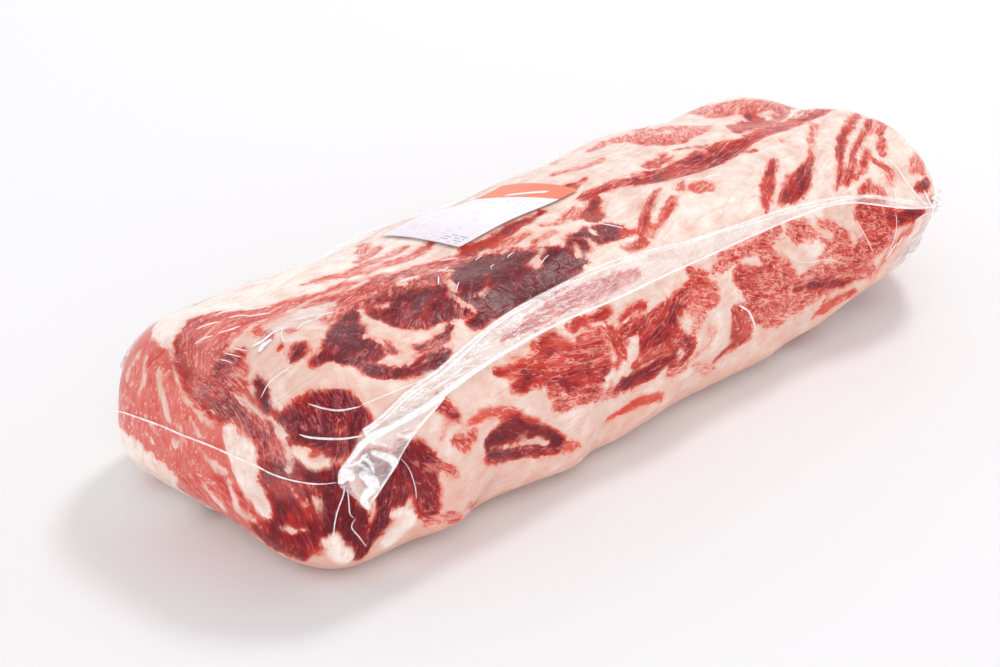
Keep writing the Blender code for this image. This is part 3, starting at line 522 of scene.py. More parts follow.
NEAR_END = (
    ("lean", .20, .22, 100, 1.6, ((5.8, 5.6, 24), (4.0, 5.2, 26), (1.5, 5.0, 28), (-1.0, 4.6, 28))),
    ("lean", .34, .30, 30, 1.6, ((.8, 1.7, 7), (-.4, 2.2, 10), (-2.0, 2.0, 11), (-3.4, 2.2, 10))),
    ("lean", .44, .25, 30, 1.6, ((-2.0, 3.4, 6), (-3.2, 2.8, 8))),
    ("lean", .80, .18, 110, 3, ((-4.3, 7.0, 7), (-5.0, 6.0, 10), (-5.8, 4.8, 13), (-6.1, 3.4, 13),
                                (-5.6, 2.1, 11), (-4.2, 1.8, 8))),
    ("lean", .92, .20, 95, 3, ((-6.8, 5.0, 7), (-7.0, 3.6, 8), (-6.9, 2.6, 6))),
    ("lean", .70, .30, 150, 3, ((2.4, 8.5, 4), (1.0, 8.2, 8), (-.4, 7.7, 11), (-1.8, 7.2, 9),
                                (-1.4, 6.7, 5))),
    ("lean", .40, .30, 120, 2, ((3.0, 7.0, 3), (2.2, 7.4, 5), (1.2, 7.2, 4))),
    ("fat", .05, ((6.0, 2.2, 7), (5.0, 2.2, 11), (3.9, 2.2, 11), (2.8, 2.2, 9), (2.0, 2.3, 7),
                  (1.5, 2.4, 4))),
    ("fat", .20, ((-2.2, 7.2, 3), (-2.6, 6.6, 5), (-3.1, 5.8, 8), (-3.5, 5.0, 9), (-3.9, 4.4, 9),
                  (-4.5, 3.8, 6), (-4.9, 3.4, 4))),
    ("fat", .05, ((6.0, 7.0, 6), (5.0, 7.9, 7), (4.0, 8.2, 6), (3.2, 8.1, 4), (2.7, 8.1, 2.5))),
    ("fat", .50, ((2.2, 7.9, 1.5), (1.4, 7.5, 2), (.6, 7.0, 2.2), (0.0, 6.6, 2), (-.7, 6.3, 1.8),
                  (-1.5, 6.0, 1.2))),
    ("fat", .50, ((0.2, 8.4, .4), (-.2, 7.4, .6), (-.6, 6.8, .4))),
    ("fat", .50, ((-.6, 7.6, .4), (-1.2, 7.0, .6), (-1.8, 6.4, .4))),
    ("fat", .50, ((-5.2, 6.4, .4), (-5.6, 5.6, .6), (-5.2, 4.6, .5), (-5.8, 4.0, .3))),
    ("fat", .50, ((-6.0, 5.0, .3), (-6.3, 4.0, .4), (-6.6, 3.0, .3))),
    ("fat", .50, ((3.0, 4.7, .3), (2.0, 4.2, .5), (1.2, 3.6, .4))),
    ("fat", .50, ((-.1, 3.7, .3), (-.9, 3.2, .5), (-1.6, 3.4, .4))),
    ("fat", .50, ((2.8, 3.9, .3), (1.9, 3.4, .4))),
    ("warm", .30, ((3.6, 1.9, 2), (2.2, 1.9, 4), (1.6, 2.6, 3))),
    ("fat", .50, ((2.3, 6.9, 1.5), (2.0, 6.3, 2.5), (1.5, 5.7, 2.5), (1.3, 5.3, 2))),
    ("fat", .50, ((3.4, 7.0, 1), (3.3, 6.2, 1.5), (3.5, 5.4, 1))),
    ("fat", .50, ((4.2, 6.8, 1), (4.7, 5.7, 1.5))),
    ("fat", .50, ((-.3, 5.9, 1), (-.8, 5.4, 1.5))),
    ("fat", .45, ((.5, 5.2, 1), (.4, 4.7, 1.5), (.9, 4.2, 1))),
    ("fat", .45, ((-.8, 4.7, 1), (-1.6, 4.3, 1.5), (-2.3, 4.2, 2))),
    ("fat", .40, ((-1.0, 3.0, 1.5), (-1.5, 2.5, 2), (-1.8, 2.1, 1.5))),
    ("fat", .40, ((-2.6, 3.9, 1.5), (-2.75, 3.2, 1.2), (-2.8, 2.5, 1.5), (-3.3, 2.4, 1.2),
                  (-3.8, 2.5, 1.5))),
    ("fat", .50, ((-5.2, 2.3, 1), (-5.6, 2.4, 1), (-6.0, 2.6, .8))),
    ("fat", .60, ((-4.1, 6.9, .4), (-4.5, 6.2, .6), (-4.9, 5.5, .5))),
    ("fat", .10, ((-7.1, 1.6, 3.5), (-6.8, 2.2, 2))),
)
FAR_END = (
    ("lean", .35, .50, 80, 3, ((4.6, 5.0, 20), (2.0, 5.2, 24), (-.6, 4.8, 24), (-2.6, 4.4, 20))),
    ("lean", .70, .35, 20, 3, ((5.8, 2.4, 9), (3.2, 1.8, 9), (.4, 1.7, 8), (-2.4, 1.9, 9))),
    ("lean", .85, .30, 100, 3, ((-5.2, 6.4, 9), (-6.2, 4.8, 11), (-6.2, 3.0, 9))),
    ("lean", .75, .35, 160, 3, ((3.4, 7.9, 5), (1.0, 8.0, 7), (-1.6, 7.6, 7), (-3.4, 7.2, 5))),
    ("fat", .20, ((6.6, 6.6, 5), (4.4, 7.4, 4), (2.0, 7.3, 3), (-.6, 7.0, 3), (-3.0, 6.5, 5))),
    ("fat", .15, ((-3.2, 6.6, 5), (-4.2, 5.2, 7), (-4.4, 3.6, 7), (-3.8, 2.4, 4))),
    ("fat", .20, ((6.4, 3.4, 5), (4.0, 2.6, 3), (1.0, 2.4, 3), (-1.6, 2.6, 3), (-3.6, 3.0, 4))),
    ("fat", .45, ((3.6, 6.4, 1), (3.0, 5.2, 2), (3.4, 4.2, 1.2))),
    ("fat", .45, ((.8, 6.0, 1), (.4, 5.0, 1.8), (.9, 3.8, 1))),
    ("fat", .45, ((-1.6, 5.8, 1), (-2.0, 4.8, 1.6), (-1.4, 3.7, 1))),
)
# Strokes of the hidden sides are scattered by chance: how many, where along and round (cm), how
# they lie (degrees), their length (cm), radius (mm), tone and threads, each from low to high.
SCATTERS = (
    dict(seed=11, count=46, way=(6, 49), around=(29, 40), turn=(-15, 35), length=(2, 6),
         radius=(1, 2.6), tone=(.3, .6), threads=(.35, .6)),
    dict(seed=12, count=15, way=(8, 47), around=(30, 39), turn=(-10, 40), length=(2, 5),
         radius=(4, 8), tone=(.55, .95), threads=(.3, .5)),
    dict(seed=13, count=34, way=(7, 48), around=(-7, 6.5), turn=(-40, 40), length=(2, 5),
         radius=(5, 12), tone=(.5, .85), threads=(.3, .55)),
    dict(seed=14, count=16, way=(9, 46), around=(-6, 5.5), turn=(-60, 60), length=(3, 8),
         radius=(1, 2.2), tone=None, threads=None),
)
STEPS_BETWEEN = 12        # steps from one point of a stroke to the next
PAINT_REACH = 8.0         # mm round a stroke that still read their distance to it
BLEND_REACH = 2.0         # mm on each side of a stroke's edge over which its tone fades in
END_ZONE = 0.065          # way from either end within which unpainted fibres follow the face


def scattered_strokes(seed, count, way, around, turn, length, radius, tone, threads):
    """Random strokes in the form above: four points along a slightly wavering line."""
    chance = np.random.default_rng(seed)
    made = []
    for _ in range(count):
        start = np.array([chance.uniform(*way), chance.uniform(*around)])
        angle = math.radians(chance.uniform(*turn))
        along = np.linspace(0, chance.uniform(*length), 4)
        waver = chance.normal(0, 0.35, 4)
        thick = chance.uniform(*radius) * np.array([.5, 1, .9, .4])
        points = np.stack([start[0] + along * math.cos(angle) - waver * math.sin(angle),
                           start[1] + along * math.sin(angle) + waver * math.cos(angle), thick], -1)
        if tone is None:
            made.append(("fat", .3, points))
        else:
            made.append(("lean", chance.uniform(*tone), chance.uniform(*threads),
                         math.degrees(angle), 3, points))
    return made


def smooth_step(share):
    """The smooth step 3s^2 - 2s^3 of a share kept between 0 and 1."""
    share = np.clip(share, 0, 1)
    return share * share * (3 - 2 * share)


def stroke_route(points, plane):
    """Dense way, round and radius of a stroke, on a smooth curve through its points."""
    given = np.array(points, float) * (CM, CM, MM)
    share = np.linspace(0, 1, STEPS_BETWEEN * (len(given) - 1) + 1)
    first, second, radius = (through(given[:, k], share) for k in range(3))
    if plane != "side":
        first, second = end_place(first, second, plane == "far")
    return first, second, np.maximum(radius, 0)


def depth_inside(points, route, radius):
    """How deep points lie inside a stroke, in mm: radius less distance, best of its segments."""
    start = route[:-1]
    run = np.diff(route, axis=0)
    apart = points[:, None] - start
    share = np.clip((apart * run).sum(-1) / np.maximum((run**2).sum(-1), 1e-12), 0, 1)
    gap = np.linalg.norm(apart - share[..., None] * run, axis=-1)
    return ((radius[:-1] + share * np.diff(radius) - gap) / MM).max(1)


def points_near(points, route, reach):
    """Which points lie in the box round a route, widened by reach."""
    inside = (points > route.min(0) - reach) & (points < route.max(0) + reach)
    return np.flatnonzero(inside.all(1))


def fade_to(values, where, cover, target):
    """Move values towards target by their cover."""
    values[where] += cover * (target - values[where])


def paint(canvas, points, strokes, plane):
    """Lay strokes over the canvas: lean is the union of lean strokes less the fat ones."""
    for stroke in strokes:
        first, second, radius = stroke_route(stroke[-1], plane)
        route = skin(first, second)
        where = points_near(points, route, radius.max() + PAINT_REACH * MM)
        depth = depth_inside(points[where], route, radius)
        cover = smooth_step((depth + BLEND_REACH) / (2 * BLEND_REACH))
        if stroke[0] == "warm":
            fade_to(canvas["warm"], where, cover, stroke[1])
            continue
        if stroke[0] == "fat":
            canvas["lean"][where] = np.minimum(canvas["lean"][where], -depth)
            fade_to(canvas["blush_and_shade"], where, cover, stroke[1])
            continue
        canvas["lean"][where] = np.maximum(canvas["lean"][where], depth)
        fade_to(canvas["tone"], where, cover, stroke[1])
        fade_to(canvas["threads"], where, cover, stroke[2])
        owned = where[depth > -BLEND_REACH]
        canvas["strokes"] += 1
        canvas["owner"][owned] = canvas["strokes"]
        canvas["turn"][owned] = math.radians(stroke[3])
        canvas["stretch"][owned] = stroke[4]
        canvas["on_end"][owned] = plane != "side"


def painted_meat(way, around, points):
    """What every stroke leaves at the given places of the skin."""
    # The starting blush is painted shade: fat on the sides is drawn darker, and darker and pinker still on
    # the low front and the near half, where less light falls; it stays pale on the ends and on the top of
    # the near half.
    low_front = np.exp(-((around / CM - 7.0) / 5.0)**2)
    from_near, from_far = way / CM, (WHOLE_WAY - way) / CM
    on_side = smooth_step((np.minimum(from_near, from_far) - 4.0) / 4.0)
    near = smooth_step((22.0 - from_near) / 12.0)
    on_top = smooth_step((around / CM - 20.5) / 3.0) * smooth_step((24.0 - from_near) / 6.0)
    canvas = {
        "lean": np.full(len(points), -PAINT_REACH),
        "tone": np.full(len(points), 0.5),
        "threads": np.full(len(points), 0.4),
        "blush_and_shade": 0.06 + on_side * (0.17 + 0.25 * low_front + 0.15 * near) * (1 - on_top),
        "warm": np.zeros(len(points)),
        "owner": np.zeros(len(points), int),
        "turn": np.full(len(points), math.radians(10)),
        "stretch": np.full(len(points), 2.5),
        "on_end": (way < END_ZONE) | (way > WHOLE_WAY - END_ZONE),
        "strokes": 0,
    }
    for scatter in SCATTERS:
        paint(canvas, points, scattered_strokes(**scatter), "side")
    paint(canvas, points, FAR_END, "far")
    paint(canvas, points, NEAR_END, "near")
    for strokes in (LOWER_FRONT, UPPER_FRONT, FAR_FRONT):
        paint(canvas, points, strokes, "side")
    canvas["lean"] = np.clip(canvas["lean"], -PAINT_REACH, PAINT_REACH)
    return canvas


# ---------------------------------------------------------------- meshes
def closed_grid(rings, spokes):
    """way and round of rings along the roast, each of spokes round it, then the two end points."""
    way = np.repeat(np.linspace(0, WHOLE_WAY, rings + 2)[1:-1], spokes)
    around = np.tile(np.arange(spokes) * GIRTH / spokes, rings)
    return np.append(way, [0, WHOLE_WAY]), np.append(around, [0, 0])


def closed_faces(rings, spokes):
    """Quads between the rings and a fan of triangles round each end point, facing out."""
    ring = np.arange(rings - 1)[:, None] * spokes
    spoke = np.arange(spokes)[None, :]
    beside = (spoke + 1) % spokes
    quads = np.stack([ring + spoke, ring + spokes + spoke, ring + spokes + beside, ring + beside], -1)
    near_tip = rings * spokes
    last = near_tip - spokes
    near = np.stack([np.full(spokes, near_tip), spoke[0], beside[0]], -1)
    far = np.stack([np.full(spokes, near_tip + 1), last + beside[0], last + spoke[0]], -1)
    return quads.reshape(-1, 4).tolist() + near.tolist() + far.tolist()


def sheet_faces(rows, columns):
    """The quads of a grid, wound from the rows to the columns."""
    index = np.arange(rows * columns).reshape(rows, columns)
    quads = np.stack([index[:-1, :-1], index[1:, :-1], index[1:, 1:], index[:-1, 1:]], -1)
    return quads.reshape(-1, 4).tolist()


def add_piece(name, points, faces, material):
    """A smooth-shaded mesh that rides with the roast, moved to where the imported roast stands."""
    mesh = bpy.data.meshes.new(name)
    mesh.from_pydata((points + FRAME_SHIFT).tolist(), [], faces)
    mesh.shade_smooth()
    mesh.materials.append(material)
    piece = bpy.data.objects.new(name, mesh)
    bpy.context.scene.collection.objects.link(piece)
    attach(piece, BODY)
    return piece


def store(piece, name, values):
    """Keep one number for each point of a piece as an attribute."""
    made = piece.data.attributes.new(name, "FLOAT", "POINT")
    made.data.foreach_set("value", np.asarray(values, np.float32).ravel())


def frame_shift():
    """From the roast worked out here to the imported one: the difference of their boxes' middles."""
    way = np.repeat(np.linspace(0, WHOLE_WAY, CAD_RINGS + 1)[1:-1], CAD_RINGS)
    around = np.tile(np.arange(CAD_RINGS) * GIRTH / CAD_RINGS, CAD_RINGS - 1)
    points = skin(np.append(way, [0, WHOLE_WAY]), np.append(around, [0, 0]))
    low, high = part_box("rib_roast")
    return (np.array(low) + np.array(high)) / 2 - (points.min(0) + points.max(0)) / 2


FRAME_SHIFT = frame_shift()


def store_grain(piece, way, around, points, canvas):
    """Fibre coordinates in cm at each corner of a face, turned and stretched as its owner says.

    A face takes its owner from its first point. On an end face the coordinates are (y, z) and on
    the sides (way, round); the third one keeps the patterns of different strokes apart.
    """
    mesh = piece.data
    corners = np.empty(len(mesh.loops), np.int32)
    mesh.loops.foreach_get("vertex_index", corners)
    starts = np.empty(len(mesh.polygons), np.int32)
    mesh.polygons.foreach_get("loop_start", starts)
    counts = np.diff(np.append(starts, len(corners)))
    first = np.repeat(corners[starts], counts)
    beside = around[corners]
    beside = beside + GIRTH * (beside < around[first] - GIRTH / 2)
    on_end = canvas["on_end"][first]
    u = np.where(on_end, points[corners, 1], way[corners]) / CM
    v = np.where(on_end, points[corners, 2], beside) / CM
    turn = canvas["turn"][first]
    along = (u * np.cos(turn) + v * np.sin(turn)) / canvas["stretch"][first]
    across = v * np.cos(turn) - u * np.sin(turn)
    grain = np.stack([along, across, canvas["owner"][first] * 7.3], -1)
    made = mesh.attributes.new("grain", "FLOAT_VECTOR", "CORNER")
    made.data.foreach_set("vector", grain.astype(np.float32).ravel())


# ---------------------------------------------------------------- materials
class Graph:
    """A node tree, with short calls that add a node and join its inputs."""

    def __init__(self, tree):
        self.tree = tree

    def node(self, kind, inputs=None, **settings):
        """Add a node; inputs maps a socket's name or number to a value or to another socket."""
        made = self.tree.nodes.new(kind)
        for name, value in settings.items():
            setattr(made, name, value)
        for key, value in (inputs or {}).items():
            self.put(made.inputs[key], value)
        return made

    def put(self, socket, value):
        """Join a socket to another, or set its own value."""
        if isinstance(value, bpy.types.NodeSocket):
            self.tree.links.new(value, socket)
        else:
            socket.default_value = value

    def math(self, operation, first, second=0.5, clamp=False):
        return self.node("ShaderNodeMath", {0: first, 1: second}, operation=operation,
                         use_clamp=clamp).outputs[0]

    def step(self, value, low, high, start=0.0, end=1.0):
        """A smooth step from start to end as value goes from low to high."""
        inputs = {"Value": value, "From Min": low, "From Max": high, "To Min": start, "To Max": end}
        return self.node("ShaderNodeMapRange", inputs, interpolation_type="SMOOTHSTEP").outputs[0]

    def blend(self, share, first, second, mode="MIX"):
        """Two colours mixed by a share."""
        made = self.node("ShaderNodeMix", data_type="RGBA", blend_type=mode)
        for name, value in (("Factor_Float", share), ("A_Color", first), ("B_Color", second)):
            socket = next(s for s in made.inputs if s.identifier == name)
            self.put(socket, value)
        return next(s for s in made.outputs if s.identifier == "Result_Color")

    def noise(self, vector, scale, detail=2.0, roughness=0.5, distortion=0.0):
        inputs = {"Vector": vector, "Scale": scale, "Detail": detail, "Roughness": roughness,
                  "Distortion": distortion}
        return self.node("ShaderNodeTexNoise", inputs).outputs[0]

    def attribute(self, name, output="Fac"):
        return self.node("ShaderNodeAttribute", attribute_name=name).outputs[output]

    def place(self, scale=1 / CM):
        """Object coordinates, in cm unless told otherwise."""
        where = self.node("ShaderNodeTexCoord").outputs["Object"]
        return self.node("ShaderNodeVectorMath", {0: where, 3: scale}, operation="SCALE").outputs[0]

    def ramp(self, value, stops):
        """A colour ramp of (place, colour) stops."""
        made = self.node("ShaderNodeValToRGB", {"Fac": value})
        elements = made.color_ramp.elements
        elements[0].position = stops[0][0]
        elements[1].position = stops[-1][0]
        for place, _ in stops[1:-1]:
            elements.new(place)
        for element, (_, colour) in zip(elements, stops):
            element.color = (*colour, 1)
        return made.outputs["Color"]


def linear(red, green, blue):
    """A display colour of 0 to 255 each as the linear colour that shaders use."""
    share = np.array([red, green, blue]) / 255
    return tuple(np.where(share <= 0.04045, share / 12.92, ((share + 0.055) / 1.055)**2.4).tolist())


def new_group(name, inputs, outputs):
    """An empty node group with float sockets; an input may be a vector. Returns graph and ends."""
    tree = bpy.data.node_groups.new(name, "ShaderNodeTree")
    for label, kind in inputs:
        tree.interface.new_socket(label, in_out="INPUT", socket_type=kind)
    for label in outputs:
        tree.interface.new_socket(label, in_out="OUTPUT", socket_type="NodeSocketFloat")
    graph = Graph(tree)
    return graph, graph.node("NodeGroupInput"), graph.node("NodeGroupOutput")


def fibres_group():
    """Muscle fibres along the grain: soft strands, thin pale threads where a noise is even, and a
    wormy net of fat where another one is high. A higher density gives more of both.
    """
    sockets = (("Grain", "NodeSocketVector"), ("Scale", "NodeSocketFloat"),
               ("Density", "NodeSocketFloat"))
    graph, given, result = new_group("muscle fibres", sockets, ("Strands", "Threads", "Net"))
    grain, scale, density = (given.outputs[name] for name, _ in sockets)
    long_grain = graph.node("ShaderNodeMapping", {"Vector": grain, "Scale": (0.42, 1, 1)}).outputs[0]
    strands = graph.noise(long_grain, graph.math("MULTIPLY", scale, 4.0), 3.0, 0.6, 0.3)
    value = graph.noise(long_grain, scale, 3.0, 0.62, 0.45)
    off_middle = graph.math("ABSOLUTE", graph.math("SUBTRACT", value, 0.5))
    width = graph.math("MULTIPLY_ADD", density, 0.075)
    width.node.inputs[2].default_value = 0.004
    line = graph.step(off_middle, 0.0, width, 1.0, 0.0)
    patch = graph.noise(grain, graph.math("MULTIPLY", scale, 0.5), 2.0)
    short = graph.math("SUBTRACT", 0.72, graph.math("MULTIPLY", density, 0.5))
    here = graph.step(patch, graph.math("SUBTRACT", short, 0.14), short)
    worms = graph.noise(grain, graph.math("MULTIPLY", scale, 2.9), 4.0, 0.65, 0.6)
    worms = graph.math("ADD", worms, graph.math("MULTIPLY", density, 0.22))
    graph.put(result.inputs["Strands"], strands)
    graph.put(result.inputs["Threads"], graph.math("MULTIPLY", line, here))
    graph.put(result.inputs["Net"], graph.step(worms, 0.64, 0.71))
    return graph.tree


def streaks_group():
    """Fine straight folds in film, drawn out along the first axis of their coordinates."""
    sockets = (("Run", "NodeSocketVector"), ("Scale", "NodeSocketFloat"))
    graph, given, result = new_group("film streaks", sockets, ("Height", "Lines"))
    run = graph.node("ShaderNodeMapping", {"Vector": given.outputs["Run"], "Scale": (0.16, 1, 1)})
    coarse = graph.noise(run.outputs[0], given.outputs["Scale"], 3.0, 0.6, 0.5)
    fine = graph.noise(run.outputs[0], graph.math("MULTIPLY", given.outputs["Scale"], 2.7), 2.0, 0.6)
    ridge = graph.math("ABSOLUTE", graph.math("SUBTRACT", coarse, 0.5))
    height = graph.math("ADD", ridge, graph.math("MULTIPLY", fine, 0.4))
    graph.put(result.inputs["Height"], graph.math("SUBTRACT", 1.0, height))
    graph.put(result.inputs["Lines"], graph.step(ridge, 0.0, 0.035, 1.0, 0.0))
    return graph.tree


def use_group(graph, tree, inputs):
    """Place a node group with its own values."""
    made = graph.node("ShaderNodeGroup", node_tree=tree)
    for name, value in inputs.items():
        graph.put(made.inputs[name], value)
    return made.outputs


def new_material(name):
    """A material with only its output and a Principled shader."""
    made = bpy.data.materials.new(name)
    made.use_nodes = True
    return Graph(made.node_tree), made.node_tree.nodes["Principled BSDF"], made


def bump_normal(graph, height, distance, strength=1.0):
    inputs = {"Height": height, "Distance": distance, "Strength": strength}
    return graph.node("ShaderNodeBump", inputs).outputs["Normal"]


def meat_material(look, fibres):
    """Lean and fat under film: ragged edges, fibres and threads along the grain, a wet gloss."""
    graph, shader, made = new_material("marbled beef")
    place = graph.place()
    grain = graph.attribute("grain", "Vector")
    ragged = graph.math("SUBTRACT", graph.noise(grain, 1.7, 4.0, 0.62, 0.4), 0.5)
    blotch = graph.math("SUBTRACT", graph.noise(place, 1.3, 3.0, 0.6, 0.5), 0.5)
    edge = graph.math("ADD", graph.attribute("lean"), graph.math("MULTIPLY", ragged, 7.5))
    edge = graph.math("ADD", edge, graph.math("MULTIPLY", blotch, 6.0))
    soft = graph.step(graph.noise(place, 0.8, 2.0), 0.36, 0.64, 0.3, 1.5)
    lean = graph.step(edge, graph.math("MULTIPLY", soft, -1.0), soft)
    rim = graph.step(edge, graph.math("MULTIPLY", soft, 0.3), graph.math("ADD", soft, 1.6), 1.0, 0.0)
    rim = graph.math("MULTIPLY", rim, graph.step(blotch, -0.15, 0.1, 0.25, 1.0))

    density = graph.attribute("threads")
    broad = use_group(graph, fibres, {"Grain": grain, "Scale": 1.9, "Density": density})
    narrow = use_group(graph, fibres, {"Grain": grain, "Scale": 4.6, "Density": density})
    narrow_share = graph.step(density, 0.2, 0.7, 0.15, 0.7)
    pale = graph.math("MULTIPLY", narrow["Threads"], narrow_share)
    pale = graph.math("MAXIMUM", graph.math("MULTIPLY", broad["Threads"], 0.8), pale)
    pale = graph.math("MAXIMUM", pale, graph.math("MULTIPLY", broad["Net"], 0.75))

    drift = graph.math("SUBTRACT", graph.noise(place, 1.0, 3.0, 0.55), 0.5)
    mottle = graph.math("SUBTRACT", graph.noise(grain, 2.3, 3.0, 0.6, 0.3), 0.5)
    strand = graph.math("SUBTRACT", broad["Strands"], 0.5)
    strand = graph.math("MULTIPLY", strand, graph.step(density, 0.1, 0.7, 0.35, 0.9))
    tone = graph.math("ADD", graph.attribute("tone"), graph.math("MULTIPLY", drift, 0.6))
    tone = graph.math("ADD", tone, graph.math("MULTIPLY", mottle, 0.8))
    tone = graph.math("ADD", tone, strand)
    tone = graph.math("SUBTRACT", tone, graph.math("MULTIPLY", rim, 0.16))
    lean_colour = graph.ramp(tone, ((0.0, look.coral), (0.34, look.salmon), (0.60, look.red),
                                    (0.80, look.crimson), (1.0, look.burgundy)))
    lean_colour = graph.blend(graph.math("MULTIPLY", rim, 0.35), lean_colour, (*look.rim, 1))
    warm = graph.math("MULTIPLY", graph.attribute("warm"), graph.step(mottle, -0.12, 0.08, 1.0, 0.55))
    lean_colour = graph.blend(warm, lean_colour, (*look.warm_lean, 1))

    # Fat colour: its own pink where lean lies close under it, and painted shade from the starting blush,
    # darker fat along the sides.
    blush_and_shade = graph.attribute("blush_and_shade")
    cloud = graph.math("MULTIPLY", graph.math("SUBTRACT", graph.noise(place, 0.9, 4.0, 0.6), 0.5), 1.1)
    fat_colour = graph.ramp(graph.math("ADD", blush_and_shade, cloud),
                            ((0.0, look.fat), (0.4, look.fat_shade), (1.0, look.fat_blush)))
    fat_colour = graph.blend(warm, fat_colour, (*look.warm_fat, 1))
    halo = graph.step(edge, -2.4, 0.0, 0.0, 0.4)
    fat_colour = graph.blend(halo, fat_colour, (*look.fat_edge, 1))
    veil = use_group(graph, fibres, {"Grain": grain, "Scale": 1.1, "Density": 0.5})
    fat_colour = graph.blend(graph.math("MULTIPLY", veil["Threads"], 0.3), fat_colour,
                             (*look.fat_blush, 1))
    thread_colour = graph.ramp(tone, ((0.25, look.thread), (0.65, look.thread_red),
                                      (0.95, look.thread_dark)))
    lean_colour = graph.blend(pale, lean_colour, thread_colour)
    colour = graph.blend(lean, fat_colour, lean_colour)

    graph.put(shader.inputs["Base Color"], colour)
    graph.put(shader.inputs["Roughness"], graph.step(lean, 0.0, 1.0, 0.34, 0.28))
    shader.inputs["Specular IOR Level"].default_value = 0.12
    height = graph.math("ADD", graph.noise(place, 1.8, 2.0, 0.5, 0.6),
                        graph.math("MULTIPLY", broad["Strands"], 0.12))
    graph.put(shader.inputs["Normal"], bump_normal(graph, height, 0.0016, 0.4))
    return made


def tight_film_material(streaks):
    """Clinging clear film: seen where it is milky, where glare is painted on it as white, and as painted
    glints: fine white lines where it is creased.
    """
    graph, shader, made = new_material("tight film")
    folds = use_group(graph, streaks, {"Run": graph.place(), "Scale": 1.6})
    haze_and_glare = graph.attribute("haze_and_glare")
    patch = graph.step(graph.noise(graph.place(), 1.4, 3.0), 0.3, 0.7, 0.4, 1.2)
    cloudy_and_glare = graph.math("MULTIPLY", haze_and_glare, patch)
    # Painted glints: white lines of film along the streaks, as strong as the milkiness and glare under them.
    lines = graph.math("MULTIPLY", folds["Lines"], graph.math("MULTIPLY", haze_and_glare, 1.2))
    seen = graph.math("ADD", cloudy_and_glare, lines, clamp=True)
    graph.put(shader.inputs["Alpha"], seen)
    graph.put(shader.inputs["Normal"], bump_normal(graph, folds["Height"], 0.0012, 0.5))
    shader.inputs["Base Color"].default_value = (0.95, 0.93, 0.94, 1)
    shader.inputs["Roughness"].default_value = 0.12
    return made


def folded_film_material(streaks):
    """Folds of spare film: milky, with bright straight lines where they double up, and a faint painted glow
    that stands in for the light the film scatters.
    """
    graph, shader, made = new_material("folded film")
    run = graph.node("ShaderNodeUVMap").outputs[0]
    folds = use_group(graph, streaks, {"Run": run, "Scale": 5.0})
    cloud = graph.step(graph.noise(graph.place(), 2.2, 3.0), 0.3, 0.7, 0.65, 1.15)
    haze_and_glare = graph.math("MULTIPLY", graph.attribute("haze_and_glare"), cloud)
    lines = graph.math("MULTIPLY", folds["Lines"], 0.5)
    seen = graph.math("ADD", haze_and_glare, graph.math("MULTIPLY", lines, graph.attribute("lines")), clamp=True)
    graph.put(shader.inputs["Alpha"], seen)
    graph.put(shader.inputs["Normal"], bump_normal(graph, folds["Height"], 0.0010, 0.6))
    shader.inputs["Base Color"].default_value = (0.96, 0.95, 0.96, 1)
    # Painted glow: the folded film, and every crease, glint, weld, pleat and corner made of it, gives off a
    # little light of its own.
    shader.inputs["Emission Color"].default_value = (1.0, 0.97, 0.97, 1)
    shader.inputs["Emission Strength"].default_value = 0.14
    shader.inputs["Roughness"].default_value = 0.16
    return made


